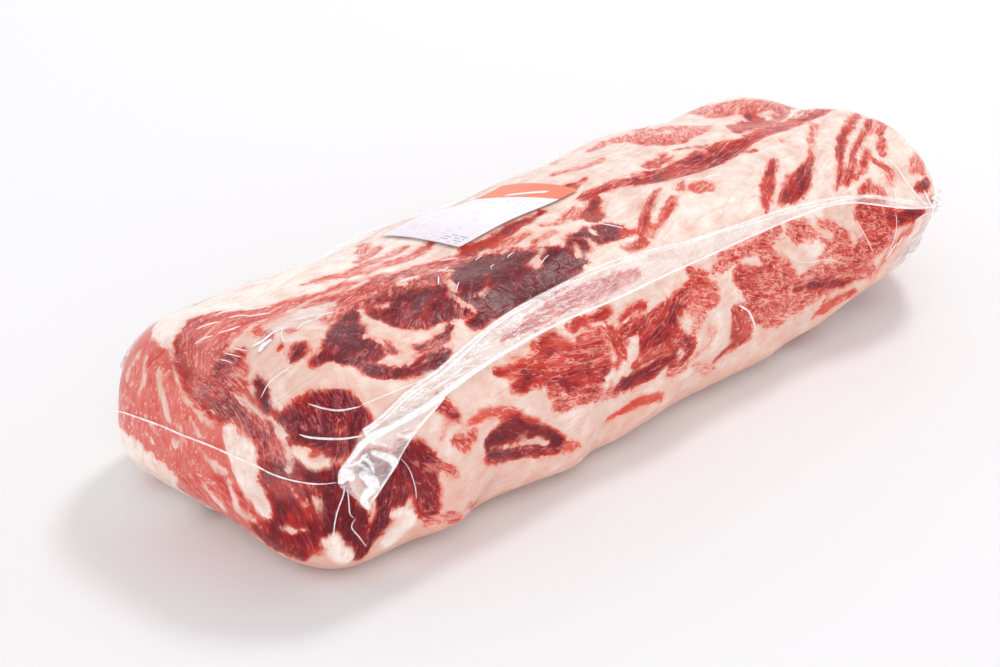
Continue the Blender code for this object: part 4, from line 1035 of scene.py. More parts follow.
def paper_material(look):
    """Label paper: a white field with rows of short grey dashes and an orange band at one end."""
    graph, shader, made = new_material("label paper")
    place = graph.node("ShaderNodeSeparateXYZ", {0: graph.node("ShaderNodeUVMap").outputs[0]})
    along, up = place.outputs[0], place.outputs[1]
    row = graph.math("MULTIPLY", along, 34.0)
    in_row = graph.step(graph.math("PINGPONG", row, 0.5), 0.16, 0.26, 1, 0)
    column = graph.math("FLOOR", graph.math("MULTIPLY", up, 30.0))
    cell = graph.node("ShaderNodeCombineXYZ", {0: column, 1: graph.math("ROUND", row)})
    chance = graph.node("ShaderNodeTexWhiteNoise", {"Vector": cell.outputs[0]}).outputs["Value"]
    dash = graph.math("MULTIPLY", in_row, graph.math("GREATER_THAN", chance, 0.5))
    patch = graph.step(graph.noise(graph.place(), 1.1, 2.0), 0.45, 0.6)
    ink = graph.math("MULTIPLY", dash, graph.math("MULTIPLY", patch, 0.2))
    for low, high, front, back, strength in LABEL_ROWS:
        here = graph.math("MULTIPLY", graph.step(along, low, low + 0.01),
                          graph.step(along, high - 0.01, high, 1, 0))
        here = graph.math("MULTIPLY", here, graph.step(up, front, front + 0.01))
        here = graph.math("MULTIPLY", here, graph.step(up, back - 0.01, back, 1, 0))
        here = graph.math("MULTIPLY", here, dash)
        ink = graph.math("MAXIMUM", ink, graph.math("MULTIPLY", here, strength))
    tint = graph.step(along, 0.0, 0.5, 1, 0)
    colour = graph.blend(tint, (*look.paper, 1), (*look.tint, 1))
    colour = graph.blend(ink, colour, (*look.print, 1))
    bend = graph.math("POWER", graph.math("SUBTRACT", 1.0, up), 2.0)
    arch = graph.math("SUBTRACT", along, graph.math("MULTIPLY", bend, 0.079))
    band = graph.step(arch, look.band_start - 0.004, look.band_start + 0.004)
    colour = graph.blend(band, colour, (*look.band, 1))
    slant = graph.math("MULTIPLY_ADD", up, 0.238)
    slant.node.inputs[2].default_value = -0.955
    off_bar = graph.math("ABSOLUTE", graph.math("ADD", along, slant))
    bar = graph.math("MULTIPLY", graph.step(off_bar, 0.014, 0.02, 1, 0), graph.step(up, 0.22, 0.26))
    bar = graph.math("MULTIPLY", bar, graph.step(up, 0.6, 0.66, 1, 0))
    colour = graph.blend(bar, colour, (*look.paper, 1))
    graph.put(shader.inputs["Base Color"], colour)
    fibre = graph.noise(graph.place(), 40.0, 2.0)
    graph.put(shader.inputs["Roughness"], graph.step(fibre, 0.2, 0.8, 0.35, 0.5))
    graph.put(shader.inputs["Normal"], bump_normal(graph, fibre, 0.0001, 0.2))
    return made


# Rows of stronger dashes on the label: from and to along it, from and to up it, and their ink.
LABEL_ROWS = (
    (0.02, 0.14, 0.06, 0.32, 0.6),
    (0.60, 0.68, 0.55, 0.92, 0.35),
    (0.66, 0.75, 0.05, 0.50, 0.25),
)


# ---------------------------------------------------------------- film pieces
# Where the film shows white, as milky film and as painted glare: (how white, points), with the points as in
# the strokes above.
SIDE_HAZE_AND_GLARE = (
    # Painted glare: a pale veil over the dark near top corner.
    (.16, ((5.8, 20.2, 8), (6.2, 21.4, 9), (6.9, 22.6, 8))),
    (.06, ((5.4, 12.5, 10), (5.6, 16.5, 10))),
    (.06, ((13.6, 20.9, 5), (17.0, 20.8, 4), (20.5, 20.8, 3))),
    # Painted glare: a near-white patch on the crown where the lamps are reflected.
    (.50, ((9.0, 20.3, 1), (10.4, 20.7, 3), (11.6, 20.9, 3), (13.0, 21.1, 1.5))),
    (.12, ((14.8, 18.3, .5), (16.2, 18.7, .5))),
    # The pale film skirt at the far lower corner, with a painted highlight along it.
    (.50, ((43.6, 10.0, 4), (44.8, 10.4, 9), (46.6, 10.6, 10), (48.0, 10.4, 9))),
)
NEAR_HAZE = (
    (.06, ((2.4, 8.4, 8), (-.6, 8.0, 10), (-2.0, 7.4, 8))),
)
PLEAT_WAY = (9.2, 46.6)
PLEAT_ROOT = ((9.2, 13.98), (9.8, 14.3), (10.4, 14.7), (11.3, 14.93), (13.0, 15.08), (14.0, 15.4),
              (15.0, 15.65), (16.0, 15.98), (17.0, 16.2), (18.5, 16.35), (20.0, 16.55), (23.5, 16.75),
              (27.0, 16.4), (30.0, 15.95), (32.0, 15.55), (34.0, 15.35), (36.5, 15.2), (38.5, 15.05),
              (39.7, 14.75), (41.0, 14.45), (42.3, 14.05), (43.4, 13.4), (46.6, 12.5))
PLEAT_EDGE = ((9.2, 13.85), (12.0, 14.0), (13.2, 14.15), (14.0, 14.27), (15.0, 14.5), (16.0, 14.68),
              (18.0, 14.88), (20.0, 15.0), (22.0, 15.05), (24.0, 14.9), (29.0, 14.78), (33.0, 14.66),
              (36.0, 14.6), (39.5, 14.5), (40.5, 14.15), (41.5, 13.7), (42.5, 13.22), (43.2, 13.05),
              (44.3, 12.85), (46.6, 12.35))
# Width in mm of the doubled bead along the free edge, against way.
PLEAT_BEAD = ((9.2, 0.9), (12.0, 1.5), (14.0, 2.4), (16.0, 1.9), (18.0, 1.2), (22.0, 0.9), (46.6, 0.8))
# Creases in the film, real folds whose milky white also paints the highlights they catch: (width mm, points
# way and round).
CREASES = (
    (1.1, ((7.85, 16.0), (8.3, 15.5), (8.8, 15.2), (9.6, 15.05))),
    (0.7, ((9.5, 15.1), (11.0, 15.1), (13.0, 15.15), (15.5, 15.5))),
    (1.3, ((6.8, 14.75), (7.1, 14.5), (7.7, 14.25), (8.4, 14.05), (9.2, 13.95))),
    (0.8, ((7.9, 12.0), (7.85, 11.6), (7.6, 10.8), (7.5, 10.0), (7.45, 9.2))),
    (0.7, ((8.0, 11.9), (8.05, 11.2), (8.1, 10.6), (8.3, 10.3))),
    (0.8, ((8.35, 10.3), (8.2, 9.9), (8.5, 9.4), (8.85, 8.8))),
    (0.5, ((8.2, 11.8), (8.4, 11.5), (8.7, 11.35))),
    (0.6, ((10.45, 12.6), (10.8, 12.0), (11.1, 11.0), (11.2, 10.4))),
    (1.6, ((31.2, 12.1), (32.0, 11.5), (32.5, 10.8), (32.9, 10.1))),
    (0.5, ((35.2, 12.9), (36.5, 12.4), (37.5, 12.2), (38.6, 11.8), (39.6, 11.2))),
    (0.5, ((40.2, 13.4), (40.8, 12.2), (41.3, 11.4))),
    (0.5, ((42.3, 11.0), (42.6, 12.0), (42.7, 13.1))),
    (0.5, ((39.6, 14.6), (41.0, 14.3), (42.3, 14.0))),
    (1.1, ((44.6, 15.8), (44.5, 14.9), (44.3, 14.1), (44.5, 13.4), (45.0, 12.8))),
    (2.6, ((45.1, 13.5), (45.3, 12.9), (45.7, 12.5), (46.3, 12.1))),
    (0.7, ((43.3, 14.2), (43.0, 13.6), (42.8, 13.2))),
    (0.9, ((44.0, 12.3), (44.8, 12.45), (45.6, 12.2), (46.8, 11.6))),
    (0.6, ((6.5, 17.4), (7.4, 17.9), (8.6, 18.0))),
)
# Painted highlights: short strips of milky white film where the lamps glint on pulled film: (width mm,
# points).
GLINTS = (
    (3.2, ((8.3, 19.8), (8.7, 20.0), (9.2, 20.1))),
    (1.8, ((8.4, 20.4), (8.9, 20.3), (9.6, 20.5))),
    (1.1, ((9.3, 24.0), (9.8, 23.9), (10.3, 23.6))),
    (1.0, ((10.3, 23.4), (10.9, 23.1), (11.5, 22.9))),
    (0.8, ((7.3, 23.3), (7.7, 23.1), (8.1, 22.7))),
    (0.8, ((8.1, 23.9), (8.6, 23.6), (9.0, 23.2))),
    (0.8, ((8.3, 22.6), (8.7, 22.3), (9.2, 22.1))),
    (0.7, ((9.4, 23.2), (9.8, 23.0), (10.1, 22.6))),
    (0.7, ((9.9, 22.6), (10.4, 22.4), (10.9, 22.2))),
    (0.6, ((7.1, 21.2), (7.2, 20.8), (7.2, 20.4))),
    (0.6, ((7.5, 21.3), (7.6, 20.8), (7.7, 20.3))),
    (0.6, ((7.9, 21.2), (8.0, 20.8), (8.1, 20.3))),
    (0.6, ((9.3, 19.4), (9.6, 20.0), (10.1, 20.5))),
    (0.6, ((10.3, 19.9), (10.9, 20.3), (11.6, 20.4))),
    (0.7, ((11.6, 20.3), (12.2, 20.6), (12.9, 20.5))),
    (0.9, ((16.5, 20.6), (16.8, 20.5), (17.2, 20.5))),
    (0.9, ((17.4, 19.2), (17.7, 19.5), (18.1, 19.9))),
    (0.8, ((18.6, 20.3), (19.0, 20.4), (19.4, 20.6))),
    (0.7, ((19.6, 21.4), (20.0, 21.3), (20.4, 21.1))),
    (0.6, ((20.2, 18.9), (20.4, 19.1), (20.7, 19.2))),
    (0.6, ((20.7, 20.3), (20.9, 20.4), (21.3, 20.5))),
    (0.6, ((21.6, 19.3), (21.8, 19.4), (22.2, 19.5))),
    (0.6, ((17.5, 18.3), (17.9, 18.6), (18.2, 18.8))),
    (0.6, ((22.2, 17.9), (22.6, 18.1), (23.0, 18.2))),
    (0.9, ((17.2, 16.1), (18.1, 16.25), (19.0, 16.3))),
    (0.8, ((27.0, 18.9), (27.4, 18.4), (27.7, 18.0))),
    (1.2, ((42.3, 10.8), (42.6, 11.3), (42.9, 11.6))),
    (0.9, ((42.9, 11.3), (43.1, 11.7), (43.3, 11.8))),
    (1.6, ((43.6, 21.3), (44.2, 21.6), (45.0, 22.2))),
    (1.2, ((44.6, 21.9), (45.2, 22.4), (45.9, 22.9))),
    (0.8, ((43.9, 21.1), (44.5, 21.2), (45.0, 21.4))),
    (0.7, ((44.2, 23.5), (44.6, 23.7), (45.0, 23.8))),
    (0.6, ((33.9, 18.5), (34.4, 18.6), (34.8, 18.3))),
)
NEAR_WELD = ((-7.2, 5.0), (-6.5, 4.95), (-5.0, 5.1), (-4.0, 5.25), (-2.0, 5.2), (0.0, 5.0),
             (2.0, 4.75), (4.0, 4.35), (5.0, 4.0), (6.6, 3.2))
FAR_WELD = ((-7.2, 5.0), (-4.6, 5.2), (-1.6, 5.1), (1.6, 4.8), (4.4, 4.3), (6.6, 3.3))
# A corner flap of the bag, from its root line to its free edge, and how milky it is.
EAR_ROOT = ((7.65, 12.2), (7.8, 12.75), (8.3, 13.25), (9.1, 13.85), (10.6, 14.05), (13.2, 14.25))
EAR_EDGE = ((7.75, 11.95), (8.35, 11.3), (8.85, 10.8), (9.7, 11.9), (11.1, 13.25), (13.2, 14.1))
EAR_CLEAR = 0.16
FAR_EAR = 0.45            # size of a far corner's flap against a near one
BACK_LIFT = 0.4           # how far the folds of the back stand off, against the front ones
BACK_HAZE = 0.55          # how milky they are, against the front ones
EAR_HAZE = (
    (.95, ((13.2, 14.2, 1.2), (12.0, 14.1, 1.5), (10.6, 14.0, 1.6), (9.2, 13.75, 1.4),
           (8.5, 13.3, 1.0), (7.9, 12.8, .8))),
    (.85, ((9.3, 13.2, .6), (9.7, 12.95, 1.2), (10.0, 12.7, 1.5), (10.15, 12.45, 1.3))),
    (.70, ((10.5, 13.55, .4), (10.9, 13.35, .7), (11.3, 13.4, .5))),
    (.98, ((7.8, 12.35, 1.6), (8.0, 12.55, 2.2), (8.2, 12.4, 1.6))),
    (.98, ((8.7, 12.4, 1.6), (9.0, 12.05, 2.2), (9.1, 11.75, 2.0), (8.8, 11.5, 1.2))),
    (.95, ((8.8, 11.6, 1.2), (8.65, 11.25, 1.3), (8.8, 10.9, 1.2))),
    (.80, ((8.85, 13.15, .4), (9.1, 12.75, .5), (9.15, 12.4, .5))),
    (.75, ((8.5, 13.0, .4), (8.85, 12.65, .5), (9.0, 12.45, .4))),
    (.70, ((8.2, 12.9, .5), (8.6, 12.95, .5), (9.0, 13.2, .4))),
    (.75, ((9.0, 11.1, .3), (9.7, 11.95, .35), (10.5, 12.75, .35), (11.3, 13.4, .35),
           (13.0, 14.05, .3))),
    (.60, ((9.4, 13.6, .3), (9.9, 13.3, .3))),
)


def along_line(points, count):
    """A smooth line through points, even in its own share: two arrays in metres."""
    given = np.array(points, float) * CM
    share = np.linspace(0, 1, count)
    return through(given[:, 0], share), through(given[:, 1], share)


def round_at(line, way):
    """The round of a line at the given ways, on straight runs through its points, smoothed."""
    given = np.array(line, float) * CM
    fine = np.linspace(given[0, 0], given[-1, 0], 80)
    return np.interp(way, fine, np.convolve(np.pad(np.interp(fine, given[:, 0], given[:, 1]), 3,
                                                   mode="edge"), np.full(7, 1 / 7), "valid"))


def on_side(around, back):
    """The same round on the back side, where back is true."""
    return GIRTH - around if back else around


def add_sheet(name, way, around, lift, wall, material):
    """A sheet on a grid of places, lifted off the skin, with its wall added outwards."""
    points = off_skin(way, around, lift)
    faces = sheet_faces(*way.shape)
    along = points[1:, :-1] - points[:-1, :-1]
    across = points[:-1, 1:] - points[:-1, :-1]
    outward = facing(skin, way, around)[:-1, :-1]
    if np.sum(np.cross(along, across) * outward) < 0:
        faces = [face[::-1] for face in faces]
    piece = add_piece(name, points.reshape(-1, 3), faces, material)
    solid = piece.modifiers.new("wall", "SOLIDIFY")
    solid.thickness = wall
    solid.offset = 1
    return piece


def sweep(way, around, width, height, lift, sides=8):
    """Points of flat ellipses carried along a route on the skin, with a point at each end."""
    centre = off_skin(way, around, np.full(way.shape, lift))
    tangent = np.gradient(centre, axis=0)
    tangent = tangent / np.linalg.norm(tangent, axis=1, keepdims=True)
    normal = facing(skin, way, around)
    side = np.cross(tangent, normal)
    share = np.linspace(0, 1, len(way))
    taper = np.sin(np.pi * share)**0.35
    turn = np.arange(sides) * 2 * np.pi / sides
    out = (side[:, None] * np.cos(turn)[:, None] * width / 2
           + normal[:, None] * np.sin(turn)[:, None] * height / 2)
    rings = (centre[:, None] + out * taper[:, None, None])[1:-1]
    return np.concatenate([rings.reshape(-1, 3), centre[[0, -1]]]), closed_faces(len(rings), sides)


def add_sweeps(name, sweeps, material):
    """Several sweeps in one mesh."""
    points, faces = [], []
    for some, rows in sweeps:
        first = sum(len(earlier) for earlier in points)
        points.append(some)
        faces += [[first + corner for corner in row] for row in rows]
    return add_piece(name, np.concatenate(points), faces, material)


def hazed(points, layers, clear, soft):
    """How milky film is at each point: strokes with edges soft by so many mm, over clear film.

    Layers are (plane, strokes) and a stroke is (haze, points).
    """
    haze_and_glare = np.full(len(points), clear)
    for plane, strokes in layers:
        for value, given in strokes:
            first, second, radius = stroke_route(given, plane)
            route = skin(first, second)
            where = points_near(points, route, radius.max() + PAINT_REACH * MM)
            depth = depth_inside(points[where], route, radius)
            fade_to(haze_and_glare, where, smooth_step(0.5 + depth / soft), value)
    return haze_and_glare


def store_run(piece, along, across):
    """A UV map in cm that follows a fold: along its length and across it."""
    corners = np.empty(len(piece.data.loops), np.int32)
    piece.data.loops.foreach_get("vertex_index", corners)
    run = np.stack([along.ravel()[corners], across.ravel()[corners]], -1) / CM
    sheet = piece.data.uv_layers.new(name="run")
    sheet.data.foreach_set("uv", run.astype(np.float32).ravel())


def ridge(place, middle, width):
    """A smooth ridge of height 1 round a middle."""
    return np.exp(-((place - middle) / width)**2)


# ---------------------------------------------------------------- settings
def colour_setting(name, description, colour):
    """A colour property with its default given as a display colour."""
    return bpy.props.FloatVectorProperty(name=name, description=description, subtype="COLOR",
                                         size=3, min=0, max=1, default=linear(*colour))


def length_setting(name, description, default):
    """A length property in metres."""
    return bpy.props.FloatProperty(name=name, description=description, default=default,
                                   unit="LENGTH", precision=5, min=0)


def share_setting(name, description, default):
    """A plain number from 0 to 10."""
    return bpy.props.FloatProperty(name=name, description=description, default=default,
                                   min=0, max=10, precision=3)


class RoastMeat(bpy.types.PropertyGroup):
    """Sizes and colours of the meat."""
    rings: bpy.props.IntProperty(name="Rings", description="Rings along the roast", default=350)
    spokes: bpy.props.IntProperty(name="Spokes", description="Points round a ring", default=278)
    fat_rise: length_setting("Fat rise", "How far fat stands proud of lean", 0.0005)
    coral: colour_setting("Coral", "Palest lean, on the cut end", (224, 128, 120))
    salmon: colour_setting("Salmon", "Pale lean", (218, 96, 86))
    red: colour_setting("Red", "Red lean", (190, 50, 42))
    crimson: colour_setting("Crimson", "Dark red lean", (142, 26, 34))
    burgundy: colour_setting("Burgundy", "Darkest lean", (98, 12, 24))
    warm_lean: colour_setting("Warm lean", "Orange places of the lean", (206, 58, 26))
    warm_fat: colour_setting("Warm fat", "Orange places of the fat", (236, 164, 130))
    rim: colour_setting("Rim", "Lean where it thins out over fat", (224, 84, 52))
    thread: colour_setting("Thread", "Fat threads in pale lean", (248, 204, 190))
    thread_red: colour_setting("Red thread", "Fat threads in red lean", (232, 150, 134))
    thread_dark: colour_setting("Dark thread", "Fat threads in dark lean", (160, 74, 86))
    fat: colour_setting("Fat", "Clean fat", (252, 240, 231))
    # Painted shade: the darker fat that the painted shade along the sides blends to.
    fat_shade: colour_setting("Creamy shaded fat", "Fat along the sides", (230, 200, 187))
    fat_blush: colour_setting("Pink fat", "Fat with lean close under it", (226, 146, 124))
    fat_edge: colour_setting("Fat edge", "Fat beside lean", (232, 152, 134))


class RoastFilm(bpy.types.PropertyGroup):
    """Sizes of the film."""
    gap: length_setting("Gap", "Between the meat and the film over it", 0.0005)
    wall: length_setting("Wall", "Thickness of the folded film pieces", 0.0002)
    crease_height: length_setting("Crease height", "How far a crease stands up", 0.0006)


class RoastLabel(bpy.types.PropertyGroup):
    """Size and colours of the label."""
    length: length_setting("Length", "Along the roast", 0.0765)
    width: length_setting("Width", "Round the roast", 0.041)
    middle_way: length_setting("Way", "Place of its middle along the roast", 0.2465)
    middle_round: length_setting("Round", "Place of its middle round the roast", 0.239)
    tilt: share_setting("Tilt", "How far its ends lean, way per round", 0.2)
    band_start: share_setting("Band", "Share of the length where the band starts", 0.752)
    paper: colour_setting("Paper", "The paper", (243, 242, 247))
    tint: colour_setting("Tint", "The paper at its near end", (236, 230, 240))
    print: colour_setting("Print", "The dashes", (120, 112, 120))
    band: colour_setting("Band", "The band at the far end", (238, 128, 96))


class RoastStage(bpy.types.PropertyGroup):
    """Floor, light and camera."""
    floor_colour: colour_setting("Floor", "The floor", (240, 241, 243))
    floor_size: length_setting("Floor size", "Side of the square floor", 8.0)
    sky: share_setting("Sky", "Strength of the sky at the horizon", 1.29)
    key: share_setting("Key", "Power of the key lamp, in tens of watts", 2.5)
    fill: share_setting("Fill", "Power of the fill lamp, in tens of watts", 1.0)
    azimuth: bpy.props.FloatProperty(name="Azimuth", description="Turn of the camera",
                                     subtype="ANGLE", default=math.radians(-45.39))
    elevation: bpy.props.FloatProperty(name="Elevation", description="Height angle of the camera",
                                       subtype="ANGLE", default=math.radians(27.2))
    distance: length_setting("Distance", "From the camera to its target", 1.1012)
    lens: share_setting("Lens", "Focal length in centimetres", 8.64)


# ---------------------------------------------------------------- operators
class ROAST_OT_meat(bpy.types.Operator):
    """Add the meat: muscles, fat and sinews painted over one closed skin"""
    bl_idname = "roast.add_meat"
    bl_label = "Add meat"

    def execute(self, context):
        look = context.scene.roast_meat
        film = context.scene.roast_film
        way, around = closed_grid(look.rings, look.spokes)
        canvas = painted_meat(way, around, skin(way, around))
        fat = smooth_step(0.5 - canvas["lean"] / 3)
        points = off_skin(way, around, look.fat_rise * (fat - 1) - film.gap)
        points[:, 2] = np.maximum(points[:, 2], film.gap)
        faces = closed_faces(look.rings, look.spokes)
        finish = meat_material(look, fibres_group())
        piece = add_piece("meat", points, faces, finish)
        for name in ("lean", "tone", "threads", "blush_and_shade", "warm"):
            store(piece, name, canvas[name])
        store_grain(piece, way, around, points, canvas)
        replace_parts(piece, "rib_roast")
        return {"FINISHED"}


class ROAST_OT_film(bpy.types.Operator):
    """Add the tight film round the meat, with its pleats, corners, end welds and creases"""
    bl_idname = "roast.add_film"
    bl_label = "Add film"

    def execute(self, context):
        look = context.scene.roast_film
        streaks = streaks_group()
        folded = folded_film_material(streaks)
        self.add_tight(tight_film_material(streaks))
        for side, back in (("front", False), ("back", True)):
            self.add_pleat(look, side, back, folded)
            for end, far in (("near", False), ("far", True)):
                self.add_ear(look, end, far, side, back, folded)
        for end, far, line in (("near", False, NEAR_WELD), ("far", True, FAR_WELD)):
            self.add_weld(end, far, line, folded)
        self.add_lines(look, "film_creases", CREASES, 0.5, folded)
        # Painted highlights: the glints are white strips of film, not reflections.
        self.add_lines(look, "film_glints", GLINTS, 0.8, folded)
        return {"FINISHED"}

    def add_tight(self, finish):
        """The film that clings to the meat."""
        rings, spokes = 260, 200
        way, around = closed_grid(rings, spokes)
        points = skin(way, around)
        piece = add_piece("film_tight", points, closed_faces(rings, spokes), finish)
        # The strokes paint milky film and painted glare, white patches for the lamps' reflections.
        layers = (("side", SIDE_HAZE_AND_GLARE), ("near", NEAR_HAZE))
        store(piece, "haze_and_glare", hazed(points, layers, 0.01, 12))

    def add_pleat(self, look, side, back, finish):
        """The long pleat: bright lines run along it, and its free edge is a doubled bead."""
        rows, columns = 340, 46
        way = np.linspace(*PLEAT_WAY, rows)[:, None] * CM
        across = np.linspace(0, 1, columns)[None, :]
        root, edge = round_at(PLEAT_ROOT, way), round_at(PLEAT_EDGE, way)
        around = root + (edge - root) * across
        from_root, from_edge = (root - around) / MM, (around - edge) / MM
        near_part = smooth_step((0.26 - way) / 0.08)
        wander = 0.5 * np.sin(way * 55) + 0.3 * np.sin(way * 131 + 1)
        broken = 0.7 + 0.3 * np.sin(way * 190 + 2 * np.sin(way * 73)) * np.sin(way * 61 + 1)
        upper = broken * ridge(from_root, 0.8, 0.45) + 0.8 * ridge(from_root, 2.2 + wander, 0.4)
        upper = upper + 0.5 * (1 - broken) * ridge(from_root, 3.4 - wander, 0.5)
        middle = broken * ridge(from_root, 5.2 + 2 * wander, 0.35) * near_part
        bead_width = round_at(PLEAT_BEAD, way) / CM
        bead = smooth_step((bead_width + 0.3 - from_edge) / 0.6)
        lift = 0.0006 + (0.0004 * (upper + middle) + 0.0008 * bead) * (BACK_LIFT if back else 1)
        along = np.repeat(way, columns, 1)
        piece = add_sheet("bag_pleat_" + side, along, on_side(around, back), lift, look.wall,
                          finish)
        tip = 0.3 + 0.7 * smooth_step((way[-1] - way) / 0.03)
        haze_and_glare = 0.13 + (0.35 + 0.3 * near_part) * upper + 0.4 * middle
        streaky = 0.8 + 0.2 * np.sin(way * 240 + from_edge * 5) * np.sin(way * 97 - from_edge * 3)
        haze_and_glare = np.maximum(haze_and_glare, (0.72 + 0.12 * near_part) * bead * streaky)
        store(piece, "haze_and_glare", haze_and_glare * tip * (BACK_HAZE if back else 1))
        store(piece, "lines", (0.35 + 0.45 * near_part) * np.ones((1, columns)))
        store_run(piece, along, around)
        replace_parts(piece, "bag_pleat_" + side)

    def add_ear(self, look, end, far, side, back, finish):
        """A corner flap: clear towards the pleat, with a puffed white knot beside the weld."""
        rows, columns = 130, 90
        root_way, root_round = along_line(EAR_ROOT, rows)
        edge_way, edge_round = along_line(EAR_EDGE, rows)
        across = np.linspace(0, 1, columns)[None, :]
        way = root_way[:, None] + (edge_way - root_way)[:, None] * across
        around = root_round[:, None] + (edge_round - root_round)[:, None] * across
        flat = skin(way, around)
        haze_and_glare = hazed(flat.reshape(-1, 3), (("side", EAR_HAZE),), EAR_CLEAR, 1.2).reshape(way.shape)
        rough = np.abs(np.sin(way * 1900 + 9 * np.sin(around * 700)))
        lift = 0.0008 + 0.0010 * haze_and_glare + 0.0016 * haze_and_glare**6 * (0.5 + 0.5 * rough)
        if far:
            way = way[0, 0] + (way - way[0, 0]) * FAR_EAR
            around = around[0, 0] + (around - around[0, 0]) * FAR_EAR
            way = WHOLE_WAY - way
        if back:
            lift = lift * BACK_LIFT
            haze_and_glare = haze_and_glare * BACK_HAZE
        name = "bag_ear_" + end + "_" + side
        piece = add_sheet(name, way, on_side(around, back), lift, look.wall, finish)
        store(piece, "haze_and_glare", haze_and_glare)
        store(piece, "lines", np.full(way.shape, 0.35))
        store_run(piece, way, around)
        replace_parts(piece, name)

    def add_weld(self, end, far, line, finish):
        """The narrow sealed line across an end."""
        y, z = along_line(line, 120)
        name = "bag_weld_" + end
        seam = sweep(*end_place(y, z, far), 0.0009, 0.0006, 0.0002)
        beads = np.sin(np.arange(len(seam[0])) * 0.11) * np.sin(np.arange(len(seam[0])) * 0.043)
        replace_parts(self.add_film_lines(name, [seam], 0.6 + 0.3 * beads, finish, "weld"), name)

    def add_lines(self, look, name, lines, haze_and_glare, finish):
        """Fine standing creases in the film or the glints, each set all in one mesh; the creases' milky
        white is partly painted highlight and the glints are painted highlights of milky film.
        """
        sweeps = [sweep(*along_line(line, 24), width * 0.75 * MM, look.crease_height, 0.0002)
                  for width, line in lines]
        self.add_film_lines(name, sweeps, haze_and_glare, finish, "film")

    def add_film_lines(self, name, sweeps, haze_and_glare, finish, slot):
        """Thin raised lines of film, equally milky along their length."""
        piece = add_sweeps(name, sweeps, finish)
        count = len(piece.data.vertices)
        store(piece, "haze_and_glare", np.broadcast_to(haze_and_glare, count))
        store(piece, "lines", np.full(count, 0.5))
        store_run(piece, np.arange(count) * MM, np.zeros(count))
        return piece


class ROAST_OT_label(bpy.types.Operator):
    """Add the blank paper label, draped over the crown"""
    bl_idname = "roast.add_label"
    bl_label = "Add label"

    def execute(self, context):
        look = context.scene.roast_label
        rows, columns = 60, 40
        u, v = np.meshgrid(np.linspace(0, 1, rows), np.linspace(0, 1, columns), indexing="ij")
        across = (v - 0.5) * look.width
        way = look.middle_way + (u - 0.5) * look.length - across * look.tilt
        around = look.middle_round + across
        piece = add_sheet("label_paper", way, around, np.full(way.shape, 0.0006), 0.00015,
                          paper_material(look))
        corners = np.empty(len(piece.data.loops), np.int32)
        piece.data.loops.foreach_get("vertex_index", corners)
        sheet = piece.data.uv_layers.new(name="paper")
        flat = np.stack([u.ravel()[corners], v.ravel()[corners]], -1)
        sheet.data.foreach_set("uv", flat.astype(np.float32).ravel())
        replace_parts(piece, "label")
        return {"FINISHED"}


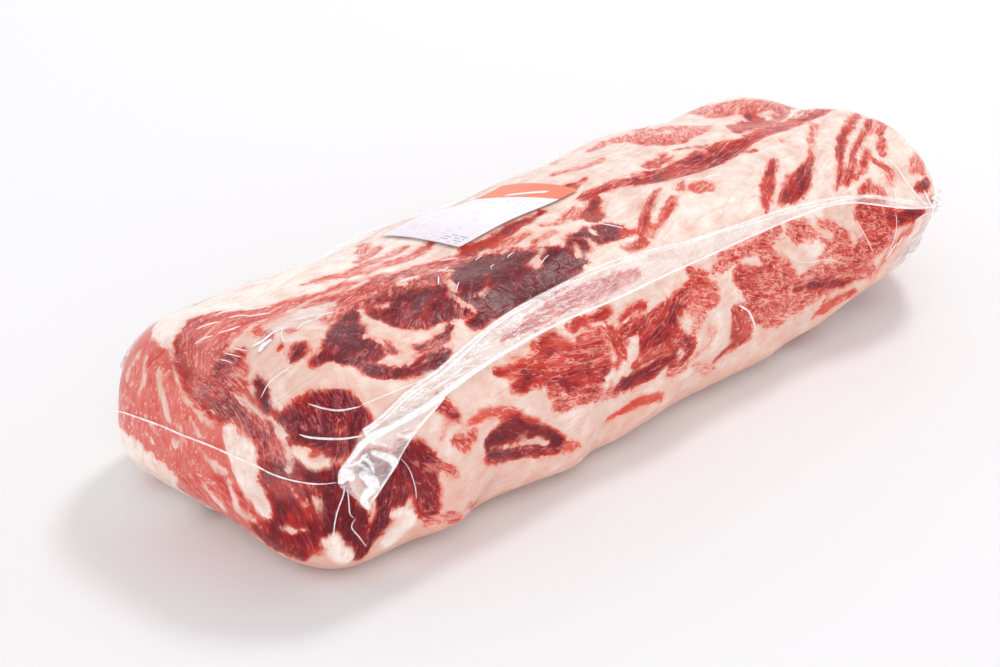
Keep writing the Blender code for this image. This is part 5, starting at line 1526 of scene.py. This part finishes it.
class ROAST_OT_stage(bpy.types.Operator):
    """Add a plain pale floor, soft light and the camera"""
    bl_idname = "roast.add_stage"
    bl_label = "Add stage"

    def execute(self, context):
        look = context.scene.roast_stage
        self.add_floor(look)
        self.add_light(context.scene, look)
        self.add_camera(context.scene, look)
        context.scene.view_settings.view_transform = "Standard"
        return {"FINISHED"}

    def add_floor(self, look):
        """A square floor under the roast."""
        half = look.floor_size / 2
        mesh = bpy.data.meshes.new("floor")
        mesh.from_pydata([(-half, -half, 0), (half, -half, 0), (half, half, 0), (-half, half, 0)],
                         [], [(0, 1, 2, 3)])
        floor = bpy.data.objects.new("floor", mesh)
        bpy.context.scene.collection.objects.link(floor)
        graph, shader, made = new_material("floor")
        grain = graph.noise(graph.place(), 3.0, 2.0)
        graph.put(shader.inputs["Roughness"], graph.step(grain, 0.3, 0.7, 0.85, 0.95))
        shader.inputs["Base Color"].default_value = (*look.floor_colour, 1)
        shader.inputs["Specular IOR Level"].default_value = 0.2
        mesh.materials.append(made)

    def add_light(self, scene, look):
        """A sky paler at the horizon, a key lamp high behind the far end and a soft fill at the near one."""
        world = bpy.data.worlds.new("pale studio")
        world.use_nodes = True
        sky = world.node_tree.nodes["Background"]
        sky.inputs["Color"].default_value = (1.0, 0.98, 0.985, 1)
        graph = Graph(world.node_tree)
        toward = graph.node("ShaderNodeTexCoord").outputs["Generated"]
        rise = graph.node("ShaderNodeSeparateXYZ", {0: toward}).outputs[2]
        fall = graph.step(rise, 0.0, 1.0, look.sky, look.sky * 0.5)
        graph.put(sky.inputs["Strength"], fall)
        scene.world = world
        self.add_lamp(scene, "key", look.key * 10, 0.6, (1.6, 0.3, 2.4))
        self.add_lamp(scene, "fill", look.fill * 10, 1.6, (-1.7, -1.9, 1.1))

    def add_lamp(self, scene, name, power, size, place):
        """A round lamp aimed at the roast."""
        lamp = bpy.data.lights.new(name, "AREA")
        lamp.shape = "DISK"
        lamp.size = size
        lamp.energy = power
        lamp.color = (1.0, 0.985, 0.97)
        placed = bpy.data.objects.new(name, lamp)
        placed.location = place
        aim = Vector((0, 0, 0.04)) - placed.location
        placed.rotation_euler = aim.to_track_quat("-Z", "Y").to_euler()
        scene.collection.objects.link(placed)

    def add_camera(self, scene, look):
        """A long lens that looks down on the near end."""
        turn, rise = look.azimuth, look.elevation
        back = Vector((math.sin(turn) * math.cos(rise), -math.cos(turn) * math.cos(rise),
                       math.sin(rise)))
        target = Vector(CAMERA_TARGET) + Vector(FRAME_SHIFT)
        data = bpy.data.cameras.new("camera")
        data.lens = look.lens * 10
        data.sensor_width = 36.0
        camera = bpy.data.objects.new("camera", data)
        camera.location = target + back * look.distance
        camera.rotation_mode = "QUATERNION"
        camera.rotation_quaternion = (-back).to_track_quat("-Z", "Y")
        scene.collection.objects.link(camera)
        scene.camera = camera


class ROAST_PT_panel(bpy.types.Panel):
    """The settings and one button for each step"""
    bl_label = "Roast"
    bl_idname = "ROAST_PT_panel"
    bl_space_type = "VIEW_3D"
    bl_region_type = "UI"
    bl_category = "Roast"

    def draw(self, context):
        for title, settings, steps in PANEL_ROWS:
            box = self.layout.box()
            box.label(text=title)
            group = getattr(context.scene, settings)
            for name in group.__annotations__:
                box.prop(group, name)
            for step in steps:
                box.operator(step)


CAMERA_TARGET = (-0.03417, 0, 0.03035)
PANEL_ROWS = (
    ("Meat", "roast_meat", ("roast.add_meat",)),
    ("Film", "roast_film", ("roast.add_film",)),
    ("Label", "roast_label", ("roast.add_label",)),
    ("Stage", "roast_stage", ("roast.add_stage",)),
)
SETTINGS = {"roast_meat": RoastMeat, "roast_film": RoastFilm, "roast_label": RoastLabel,
            "roast_stage": RoastStage}
OPERATORS = (ROAST_OT_meat, ROAST_OT_film, ROAST_OT_label, ROAST_OT_stage)


def register():
    for name, settings in SETTINGS.items():
        bpy.utils.register_class(settings)
        setattr(bpy.types.Scene, name, bpy.props.PointerProperty(type=settings))
    for operator in OPERATORS:
        bpy.utils.register_class(operator)
    bpy.utils.register_class(ROAST_PT_panel)


def unregister():
    bpy.utils.unregister_class(ROAST_PT_panel)
    for operator in reversed(OPERATORS):
        bpy.utils.unregister_class(operator)
    for name, settings in reversed(SETTINGS.items()):
        delattr(bpy.types.Scene, name)
        bpy.utils.unregister_class(settings)


def main():
    register()
    bpy.ops.roast.add_stage()
    bpy.ops.roast.add_meat()
    bpy.ops.roast.add_film()
    bpy.ops.roast.add_label()


if __name__ == "__main__":
    main()
